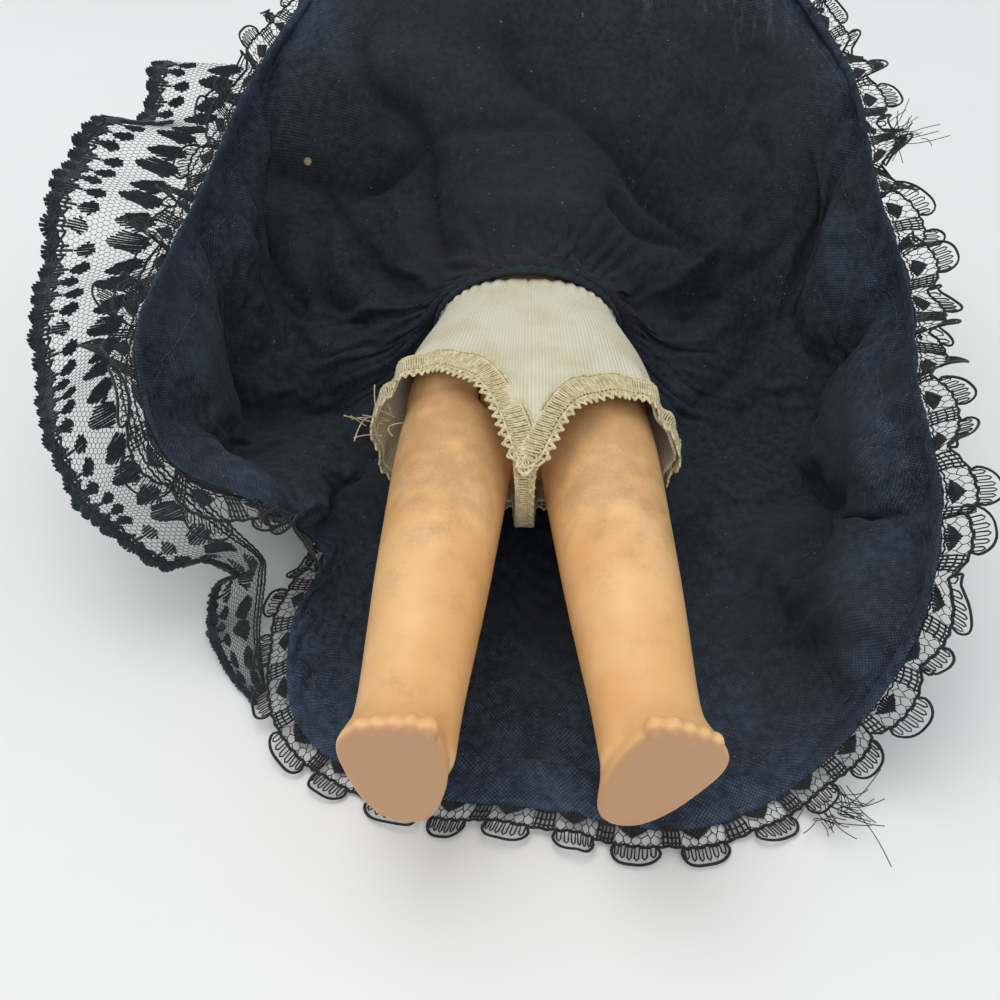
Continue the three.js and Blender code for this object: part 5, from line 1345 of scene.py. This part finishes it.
def legLacePattern(period):
    look = legLaceLook
    strands = [([(x * period / 4, y + 0.12 * (x % 2)) for x in range(5)], look["cord"]) for y in (0.2, 0.75, 4.5)]
    for i in range(2):
        x = (i + 0.2) * period / 2
        loop = [(x, 0.8), (x - 0.06, 2.4), (x + 0.05, 3.9), (x + 0.28, 4.3), (x + 0.5, 3.8), (x + 0.46, 2.2),
                (x + 0.5, 0.8)]
        strands.append((loop, look["loop"]))
    strands.append((arc((0.5 * period, 4.7), (0.46 * period, 0.9), -10, 190, 8), look["cord"]))
    strands.append((arc((0.5 * period, 4.9), (0.2 * period, 1.2), 0, 180, 6), look["loop"]))
    return strands


def makeLegLace(name):
    look, side = legLaceLook, sides[name]
    grid = knickersGrids[name]
    rim = grid[-1]
    along = unit(rim - grid[-4])
    tangent = unit(np.gradient(rim, axis=0))
    out = gridNormals(grid, False)[-1]
    out = out * np.sign(np.sum(out * (rim - (0, 0, bodyZ)) * (1, 0, 1), 1, keepdims=True))
    downward = np.cross(out, tangent)
    downward = unit(downward * np.sign(np.sum(downward * along, 1, keepdims=True)))
    start = rim - look["lap"] * downward + (0.85 + 0.2 * side) * out
    across = downward - 0.07 * out
    total = lengthAlong(start)[-1]
    repeats = round(total / look["period"])
    guide = guideLine("legLaceGuide", start, across, out, False)
    period = total / repeats
    return layLace(f"leg_lace_{name}_threads", legLacePattern(period), guide, repeats, period, creamThread)


def makeGussetLace():
    total = lengthAlong(gussetEdge)[-1]
    repeats = round(total / legLaceLook["period"])
    across = np.outer(gussetWidths / legLaceLook["width"], (1, 0, 0))
    guide = guideLine("gussetGuide", gussetEdge, across, gussetOut, False)
    return layLace("gusset_lace", legLacePattern(total / repeats), guide, repeats, total / repeats, creamThread)


for name in sides:
    lace = makeLegLace(name)
    followLeg(lace, name)
    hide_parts(f"leg_lace_{name}")
gussetLace = makeGussetLace()
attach(gussetLace, "body")
print("leg lace sewn")


# Loose threads where the lace has frayed
frayLook = {
    "knickers_fray": {"at": (-25.8, 12.0, 24), "way": (-0.9, -0.3, 0.3), "count": 12, "reach": 5, "radius": 0.14},
    "hem_fray_right": {"at": (72, 69.7, 52), "way": (0.9, 0.2, 0.3), "count": 26, "reach": 5, "radius": 0.09},
    "hem_fray_corner": {"at": (45, -49, 2.2), "way": (0.7, -0.65, 0.1), "count": 40, "reach": 5.5, "radius": 0.08},
}


def makeFray(name, look, material):
    ragged = np.random.default_rng(len(name))
    strands = []
    for _ in range(look["count"]):
        start = np.array(look["at"]) + 1.6 * ragged.normal(size=3) * (1, 1, 0.4)
        way = unit(np.array(look["way"]) + 0.55 * ragged.normal(size=3))
        bend = 0.6 * ragged.normal(size=3)
        t = np.linspace(0, 1, 8)[:, None] * look["reach"] * (0.4 + 0.8 * ragged.random())
        line = start + t * way + (t / look["reach"]) ** 2 * bend * 4
        line[:, 2] = np.maximum(line[:, 2], 0.4)
        strands.append((line, look["radius"]))
    return spinThreads(name, strands, material, 3)


frays = {}
for name, look in frayLook.items():
    cream = name.startswith("knickers")
    frays[name] = makeFray(name, look, creamThread if cream else blackThread)
    if cream:
        followLeg(frays[name], "right")
    else:
        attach(frays[name], "body")
print("frayed threads spun")


# Torso: the built moulding, its faces merged and shaded smooth
def nodeSkin(name, nodes, material):
    shell = bmesh.new()
    for node in nodes:
        shell.from_mesh(frame["nodes"][node].data)
    bmesh.ops.remove_doubles(shell, verts=shell.verts, dist=0.01 * mm)
    mesh = bpy.data.meshes.new(name)
    shell.to_mesh(mesh)
    shell.free()
    mesh.materials.clear()
    mesh.materials.append(material)
    mesh.shade_smooth()
    mesh.set_sharp_from_angle(angle=math.radians(38))
    obj = bpy.data.objects.new(name, mesh)
    scene.collection.objects.link(obj)
    return obj


torso = nodeSkin("torso_skin", ("torso_front", "torso_back"), fleshPlain)
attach(torso, "body")
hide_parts("torso_front", "torso_back")


# Arms: raised beside the head, hands with four fingers and a thumb
armLook = {
    "length": 60,
    "radius": 5.3,
    "wrist": 3.3,
    "splay": 20,
    "raised": 160,
    "discRadius": 6.4,
    "discReach": 9,
    "flat": 14.3,
    "finger": 0.95,
    "fingers": [6, 6.9, 6.6, 5.2],
}


# A rounded bar from one point to another.
def barSkin(start, end, radius, count=14):
    start, end = np.array(start, float), np.array(end, float)
    way = unit(end - start)
    side = unit(np.cross(way, (0.3, 0.2, 1.0)))
    up = np.cross(way, side)
    angle = fullTurn(count)
    circle = np.outer(np.cos(angle), side) + np.outer(np.sin(angle), up)
    rings = []
    for tip, angles in ((start, [12, 35, 60, 90]), (end, [90, 120, 145, 168])):
        rings += [tip - way * radius * math.cos(a) + circle * radius * math.sin(a) for a in np.radians(angles)]
    return ringSkin(rings)


def makeArm(name):
    look, side = armLook, sides[name]
    length, radius, wrist = look["length"], look["radius"], look["wrist"]
    splay = math.radians(look["splay"])
    palm = length - 9

    def out(s, lift):
        return np.array([side * (look["discRadius"] - 1 + s * math.sin(splay)), -s * math.cos(splay), lift])

    # distance along the arm, lift, half width and half depth
    stations = [(0, 0, 0.9 * radius, 0.9 * radius), (0.16 * length, 0, radius, radius),
                (0.4 * length, -0.8, 0.9 * radius, 0.92 * radius),
                (0.52 * length, -0.6, 0.86 * radius, 0.86 * radius),
                (0.66 * length, 1.4, 0.8 * radius, 0.8 * radius), (0.76 * length, 3.2, wrist, wrist),
                (palm, 4.8, 1.25 * wrist, 0.72 * wrist), (palm + 2.6, 5.4, 1.1 * wrist, 0.5 * wrist)]
    steps = np.linspace(0, 1, 50)
    middles = spline([out(s, lift) for s, lift, w, d in stations])(steps)
    sizes = spline([(s, w, d) for s, lift, w, d in stations])(steps)
    limb = ringSkin([ovalRing(m[1], z[1], z[2], 48, m[0], m[2]) for m, z in zip(middles, sizes)])
    along = unit(np.array([side * math.sin(splay), -math.cos(splay), 0.22]))
    across = np.array([math.cos(splay), side * math.sin(splay), 0])
    finger = look["finger"]
    skins = [limb]
    for i, reach in enumerate(look["fingers"]):
        root = out(palm + 1, 5) + across * (i - 1.5) * 1.75 * finger
        skins.append(barSkin(root, root + along * (reach - finger), finger))
    thumb = out(palm - 3.5, 4.6) - across * side * 0.7 * wrist
    skins.append(barSkin(thumb, thumb + unit(along - 0.9 * side * across) * 4.6, 1.1 * finger))
    for points, faces in skins:
        points[side * points[:, 0] < 0, 0] = 0
    skins.append(discSkin(side, look["discRadius"], look["discReach"], 0))
    place = (Matrix.Translation((side * look["flat"], shoulderY, bodyZ))
             @ Matrix.Rotation(-math.radians(look["raised"]), 4, "X"))
    skins = [(turned(points, place), faces) for points, faces in skins]
    return moulding(f"arm_{name}_skin", skins, 0.3, 3, fleshPlain)


for name in sides:
    arm = makeArm(name)
    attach(arm, f"{name}_arm")
    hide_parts(f"arm_{name}")
print("torso and arms done")


# Head: a plain calm doll's face with sleeping eyes
headLook = {
    "half": (19, 21, 19.3),
    "neck": 6.8,
    "eye": 4.5,
    "eyeAt": (7.4, 1.2, 10.6),
    "slit": (3.9, 2.6),
    "shut": 62,  # degrees that the eyes turn to open
    "lips": (0.50, 0.11, 0.085),
    "brow": (0.045, 0.022, 0.014),
    "blush": (0.74, 0.25, 0.14),
    # raised and sunk places of the face, by direction: place, height, spread
    "relief": [((0, -0.16, 0.98), 2.2, 0.15), ((0.48, -0.3, 0.82), 1.1, 0.3), ((-0.48, -0.3, 0.82), 1.1, 0.3),
               ((0, -0.68, 0.73), 1.3, 0.2), ((0, -0.42, 0.9), 0.8, 0.13), ((0.4, 0.06, 0.91), -1.2, 0.2),
               ((-0.4, 0.06, 0.91), -1.2, 0.2), ((0.09, -0.215, 0.97), 0.5, 0.05), ((-0.09, -0.215, 0.97), 0.5, 0.05),
               ((0, -0.425, 0.905), -0.5, 0.035), ((0.07, -0.42, 0.9), -0.4, 0.035),
               ((-0.07, -0.42, 0.9), -0.4, 0.035)],
}
headMiddle = np.array([0, headY, bodyZ])


# Points of the head's outside in some directions, grown by a distance.
def headPoints(ways, grow, withFace=False):
    ways = unit(ways)
    relief = np.zeros(len(ways))
    if withFace:
        for at, height, spread in headLook["relief"]:
            relief += height * np.exp(-(np.linalg.norm(ways - at, axis=1) / spread) ** 2)
    size = np.array(headLook["half"]) + (grow + relief)[:, None]
    jaw = 1 - 0.1 * np.maximum(0, -ways[:, 1]) ** 2
    points = ways * size
    points[:, 0] *= jaw
    return headMiddle + points


def eyeMiddle(side):
    x, y, z = headLook["eyeAt"]
    return headMiddle + np.array([side * x, y, z])


def faceMaterial():
    look = headLook
    material, tree, shader, place, colour = newFlesh("fleshFace")
    split = axes(tree, place)
    front = remap(tree, split["Z"], (bodyZ + 9) * mm, (bodyZ + 11) * mm)
    across = mathNode(tree, "ABSOLUTE", split["X"])

    # how far inside an oval on the face a place is, from 0 at its edge
    def oval(x, y, width, height, softness):
        dx = mathNode(tree, "DIVIDE", mathNode(tree, "SUBTRACT", across, x * mm), width * mm)
        dy = mathNode(tree, "DIVIDE", mathNode(tree, "SUBTRACT", split["Y"], (headY + y) * mm), height * mm)
        squares = [mathNode(tree, "POWER", d, 2.0) for d in (dx, dy)]
        apart = mathNode(tree, "SQRT", mathNode(tree, "ADD", *squares))
        covered = mathNode(tree, "SUBTRACT", 1.0, remap(tree, apart, 1 - softness, 1.0))
        return mathNode(tree, "MULTIPLY", front, covered)

    colour = mixColour(tree, mathNode(tree, "MULTIPLY", oval(9, -5, 5.5, 4.5, 0.9), 0.45), colour, look["blush"])
    colour = mixColour(tree, oval(0, -8.9, 3.3, 1.35, 0.25), colour, look["lips"])
    brow = mathNode(tree, "SUBTRACT", oval(7.4, 4.3, 4.4, 2.6, 0.06), oval(7.4, 3.7, 4.4, 2.5, 0.06))
    upper = remap(tree, split["Y"], (headY + 4.6) * mm, (headY + 5.2) * mm)
    brow = mathNode(tree, "MULTIPLY", mathNode(tree, "MAXIMUM", brow, 0.0), upper)
    colour = mixColour(tree, brow, colour, look["brow"])
    seam = mathNode(tree, "ABSOLUTE", mathNode(tree, "SUBTRACT", split["Z"], bodyZ * mm))
    colour = mixColour(tree, remap(tree, seam, 0.0003, 0.0001, 0.0, 0.5), colour, fleshLook["grime"])
    tree.links.new(colour, shader.inputs["Base Color"])
    return material


def makeHead():
    look = headLook
    points, faces = ballSkin((0, 0, 0), (1, 1, 1), 120, 90)
    neckAt = joints["neck_turn"]
    skins = [(headPoints(points, 0, True), faces),
             barSkin(neckAt, (0, headY - 0.7 * look["half"][1], bodyZ), look["neck"], 48)]
    head = moulding("head_skin", skins, 0.36, 2, faceMaterial())
    sockets = []
    for side in sides.values():
        middle = eyeMiddle(side)
        sockets.append(ballSkin(middle, (look["eye"] + 0.25,) * 3, 40, 24))
        rings = []
        for z in (0, 30):
            ring = ovalRing(z, look["slit"][0], look["slit"][1], 40)[:, [0, 2, 1]]
            rings.append(middle + ring)
        sockets.append(ringSkin(rings))
    for points, faces in sockets:
        cutter = makeMesh("socket", points, faces)
        faceOutwards(cutter.data)
        addModifier(head, "BOOLEAN", operation="DIFFERENCE", object=cutter, solver="EXACT")
        settle(head)
        bpy.data.objects.remove(cutter)
    head.data.shade_smooth()
    head.data.set_sharp_from_angle(angle=math.radians(50))
    return head


head = makeHead()
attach(head, "head")
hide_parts("head_front", "head_back")


# Eyes: lids painted like the skin, shut while the doll lies down; the iris turns up into the slit to open.
def eyeMaterial(name, side):
    material, tree, shader = newMaterial(f"eye_{name}")
    place = objectPlace(tree)
    away = vectorNode(tree, "NORMALIZE", vectorNode(tree, "SUBTRACT", place, tuple(eyeMiddle(side) * mm)))
    shut = math.radians(headLook["shut"])
    facing = measureNode(tree, "DOT_PRODUCT", away, (0, -math.sin(shut), math.cos(shut)))
    rays = remap(tree, noiseNode(tree, place, 0.35, 3.0), 0.35, 0.65)
    iris = mixColour(tree, rays, (0.075, 0.032, 0.014), (0.17, 0.08, 0.035))
    colour = fleshLook["pale"]  # the lid; then lashes, white, ring, iris and pupil, each inside the last
    for low, high, inner in ((0.60, 0.63, (0.030, 0.016, 0.010)), (0.66, 0.68, (0.78, 0.76, 0.70)),
                             (0.915, 0.925, (0.02, 0.012, 0.008)), (0.93, 0.94, iris),
                             (0.980, 0.985, (0.004, 0.004, 0.004))):
        colour = mixColour(tree, remap(tree, facing, low, high), colour, inner)
    tree.links.new(colour, shader.inputs["Base Color"])
    tree.links.new(remap(tree, facing, 0.60, 0.66, 0.40, 0.10), shader.inputs["Roughness"])
    return material


for name, side in sides.items():
    points, faces = ballSkin(eyeMiddle(side), (headLook["eye"],) * 3, 48, 32)
    ball = makeMesh(f"eye_{name}_ball", points, faces, eyeMaterial(name, side))
    faceOutwards(ball.data)
    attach(ball, "eyes")
    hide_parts(f"eye_{name}")
print("head and eyes done")


# Hair: a cap under strands combed back from the hairline into a coiled bun
hairLook = {
    "thick": 1.5,
    "opening": (0.82, 0.86, -0.26),  # half width, half height and drop of the face opening, as shares of the head
    "nape": -0.72,
    "bun": (9.5, 6.6, 7.8),
    "bunCore": (9.2, 6.3, 7.4),
    "bunWay": (0, 0.9325, -0.361),
    "bunOff": 24.0,
    "strands": 300,
    "strand": 0.34,
    "coils": 22,
    "coil": 0.55,
}
hair = threadMaterial("hairFibre", (0.006, 0.0042, 0.0032), (0.030, 0.020, 0.014), 0.5)


def makeHairCap():
    look = hairLook
    half = np.array(headLook["half"])
    wide, tall, drop = look["opening"]
    points, faces = ballSkin((0, 0, 0), (1, 1, 1), 120, 90)
    inner = headPoints(points, 0.35)
    kept = []
    for face in faces:
        middle = np.mean(inner[list(face)], axis=0) - headMiddle
        inOpening = (middle[0] / (wide * half[0])) ** 2 + ((middle[1] - drop * half[1]) / (tall * half[1])) ** 2 < 1
        if (inOpening and middle[2] > 1) or middle[1] < look["nape"] * half[1]:
            continue
        kept.append(face)
    cap = makeMesh("hair_cap", inner, kept, hair)
    faceOutwards(cap.data, dropLoose=True)
    return thicken(cap, look["thick"], 1)


def makeStrands():
    look = hairLook
    wide, tall, drop = look["opening"]
    ragged = np.random.default_rng(3)
    starts = []
    for angle in np.linspace(-55, 235, look["strands"] * 2 // 3):
        a = math.radians(angle)
        x, y = wide * math.cos(a), drop + tall * math.sin(a)
        left = 1 - x * x - y * y
        starts.append((x, y, math.sqrt(left)) if left > 0 else (x, y, 0.05))
    for angle in np.linspace(185, 355, look["strands"] // 3):
        a = math.radians(angle)
        reach = math.sqrt(1 - look["nape"] ** 2)
        starts.append((reach * math.cos(a), look["nape"], reach * math.sin(a)))
    end = np.array(look["bunWay"])
    strands = []
    for start in starts:
        first = unit(np.array(start) + 0.02 * ragged.normal(size=3))
        last = unit(end + 0.16 * ragged.normal(size=3))
        t = np.linspace(0, 1, 14)[:, None]
        ways = unit(first * (1 - t) + last * t)
        rise = 0.35 + look["thick"] + 0.25 * ragged.random() + 0.35 * np.sin(t[:, 0] * np.pi) * ragged.random()
        line = np.vstack([headPoints(way[None], r) for way, r in zip(ways, rise)])
        strands.append((line, look["strand"]))
    middle = headMiddle + end * look["bunOff"]
    side = np.array([1.0, 0, 0])
    up = unit(np.cross(end, side))
    bun = np.array(look["bun"])
    coils = []
    for i in range(look["coils"]):
        polar = math.radians(12 + 100 * i / (look["coils"] - 1))
        tilt = 0.12 * ragged.normal(size=2)
        angle = np.linspace(0, 2 * np.pi, 30)
        ball = np.stack([np.sin(polar) * np.cos(angle), np.sin(polar) * np.sin(angle),
                         np.cos(polar) + tilt[0] * np.cos(angle) + tilt[1] * np.sin(angle)], 1)
        ball = unit(ball)
        line = (middle + np.outer(ball[:, 0] * bun[0], side) + np.outer(ball[:, 1] * bun[2], up)
                + np.outer(ball[:, 2] * bun[1], end))
        coils.append((line, look["coil"]))
    return spinThreads("wig_strands", strands, hair), spinThreads("bun_strands", coils, hair, 6), middle


cap = makeHairCap()
wigStrands, bunStrands, bunMiddle = makeStrands()
bunCore = moulding("bun_core", [ballSkin(bunMiddle, hairLook["bunCore"], 40, 24)], 0.5, 2, hair)
for obj, nodes in ((cap, ["wig"]), (wigStrands, ["wig"]), (bunStrands, ["hair_bun"]), (bunCore, ["hair_bun"])):
    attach(obj, "head")
    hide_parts(*nodes)
print("hair combed")


# Bodice and waistband: voile on the torso, open down the back, cut out for the arms and the neck
bodiceLook = {
    # height along the body, half width and half depth of the torso there
    "forms": [(40, 16.1, 11.5), (45, 15.5, 11.2), (55.9, 15.5, 11.2), (68.3, 16.4, 12.0), (76, 15.6, 11.0),
              (81, 11.5, 9.2), (84, 7.5, 7.5)],
    "grow": 0.9,
    "bottom": 46.4,
    "top": 80,
    "armhole": 7.9,
    "neckline": (86.5, 10.2),
    "band": (43.0, 46.7, 2.6),
    "thickness": 0.45,
}


def torsoRing(y, angle, grow):
    forms = spline(bodiceLook["forms"])(np.linspace(0, 1, 120))
    width, depth = [np.interp(y, forms[:, 0], forms[:, k]) + grow for k in (1, 2)]
    return np.stack([width * np.cos(angle), y, bodyZ + depth * np.sin(angle)], -1)


def makeBodice():
    look = bodiceLook
    columns, rows = 240, 44
    angle = np.radians(np.linspace(-89, 269, columns + 1))
    rim = torsoRing(np.full(columns + 1, 74.0), angle, look["grow"])
    off = rim[:, 2] - bodyZ
    side = shoulderY - np.sqrt(np.maximum(look["armhole"] ** 2 - off**2, 0))
    top = np.where(np.abs(off) < look["armhole"], side, look["top"])
    middle, reach = look["neckline"]
    neck = middle - np.sqrt(np.maximum(reach**2 - rim[:, 0] ** 2, 0))
    atNeck = (np.abs(off) >= look["armhole"]) & (np.abs(rim[:, 0]) < reach)
    top = np.where(atNeck, np.minimum(top, neck + (off < 0) * 3), top)
    y = look["bottom"] + np.linspace(0, 1, rows + 1)[:, None] * (top - look["bottom"])[None, :]
    grid = torsoRing(y, np.broadcast_to(angle, y.shape), look["grow"])
    wave = noiseAt(grid.reshape(-1, 3) * (1, 0.4, 1), 4.0, 21).reshape(y.shape)
    normals = gridNormals(grid, False)
    outward = np.sign(np.sum(normals[0, 60] * (grid[0, 60] - (0, 46, bodyZ))))
    grid += normals * (0.3 * wave)[..., None] * outward
    obj = gridMesh("bodice_cloth", grid, lambda r, c: (c / columns * 95, r / rows * 34), False, voile)
    return finishBand(obj)


def finishBand(obj):
    faceOutwards(obj.data)
    return thicken(obj, bodiceLook["thickness"])


def makeWaistband():
    low, high, grow = bodiceLook["band"]
    columns, rows = 200, 8
    angle = fullTurn(columns)
    y = np.linspace(low, high, rows + 1)[:, None] + 0 * angle[None, :]
    puff = 0.35 * np.sin(np.linspace(0, np.pi, rows + 1))[:, None] + 0.12 * np.sin(angle * 46)[None, :]
    grid = torsoRing(y, np.broadcast_to(angle, y.shape), grow + puff)
    obj = gridMesh("waistband_cloth", grid, lambda r, c: (c / columns * 100, r / rows * 3.4), True, voile)
    return finishBand(obj)


bodice = makeBodice()
waistband = makeWaistband()
for obj, node in ((bodice, "bodice"), (waistband, "waistband")):
    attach(obj, "body")
    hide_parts(node)
print("bodice sewn")


# Pieces that keep their built shape get their finishes
for node, obj in frame["nodes"].items():
    finish = None
    if "hook" in node or node in ("eye_rocker", "eye_bracket") or node.startswith("back_snap"):
        finish = steel
    if node == "eye_weight":
        finish = lead
    if "elastic" in node:
        finish = elastic
    if finish:
        obj.data.materials.clear()
        obj.data.materials.append(finish)


# Floor, light and camera
stageLook = {
    "half": 3000,
    "pale": (0.805, 0.812, 0.808),
    "smudged": (0.785, 0.792, 0.788),
    "sky": (0.965, 0.985, 1.0, 1),
    "skyStrength": 0.72,
    # name, place, size and power of each lamp
    "lamps": [("key", (-200, 150, 850), 700, 2.5), ("fill", (150, -600, 600), 600, 1.5)],
    "lampsFace": (0, 30, 20),
}


def makeStage():
    look, half = stageLook, stageLook["half"]
    material, tree, shader = newMaterial("paleTable", Roughness=0.55)
    place = objectPlace(tree)
    smudge = remap(tree, noiseNode(tree, place, 90, 4.0), 0.35, 0.7)
    tree.links.new(mixColour(tree, smudge, look["pale"], look["smudged"]), shader.inputs["Base Color"])
    corners = [(-half, -half, 0), (half, -half, 0), (half, half, 0), (-half, half, 0)]
    floor = makeMesh("table", corners, [(0, 1, 2, 3)], material)
    world = bpy.data.worlds.new("studio")
    scene.world = world
    world.use_nodes = True
    background = world.node_tree.nodes["Background"]
    background.inputs["Color"].default_value = look["sky"]
    background.inputs["Strength"].default_value = look["skyStrength"]
    for name, at, size, power in look["lamps"]:
        lamp = bpy.data.lights.new(name, "AREA")
        lamp.shape, lamp.size, lamp.energy = "DISK", size * mm, power
        obj = bpy.data.objects.new(name, lamp)
        obj.location = Vector(at) * mm
        obj.rotation_euler = (Vector(look["lampsFace"]) - Vector(at)).to_track_quat("-Z", "Y").to_euler()
        scene.collection.objects.link(obj)


cameraLook = {"at": (-0.4, -137, 140), "down": 42.0, "yaw": 1.6, "lens": 38.59, "sensor": 36}


def makeCamera():
    camera = bpy.data.cameras.new("camera")
    camera.lens, camera.sensor_width = cameraLook["lens"], cameraLook["sensor"]
    camera.clip_start = 0.005
    obj = bpy.data.objects.new("camera", camera)
    obj.location = Vector(cameraLook["at"]) * mm
    obj.rotation_euler = (math.radians(90 - cameraLook["down"]), 0, math.radians(cameraLook["yaw"]))
    scene.collection.objects.link(obj)
    scene.camera = obj


makeStage()
makeCamera()
scene.view_settings.view_transform = "Standard"
print("stage set")
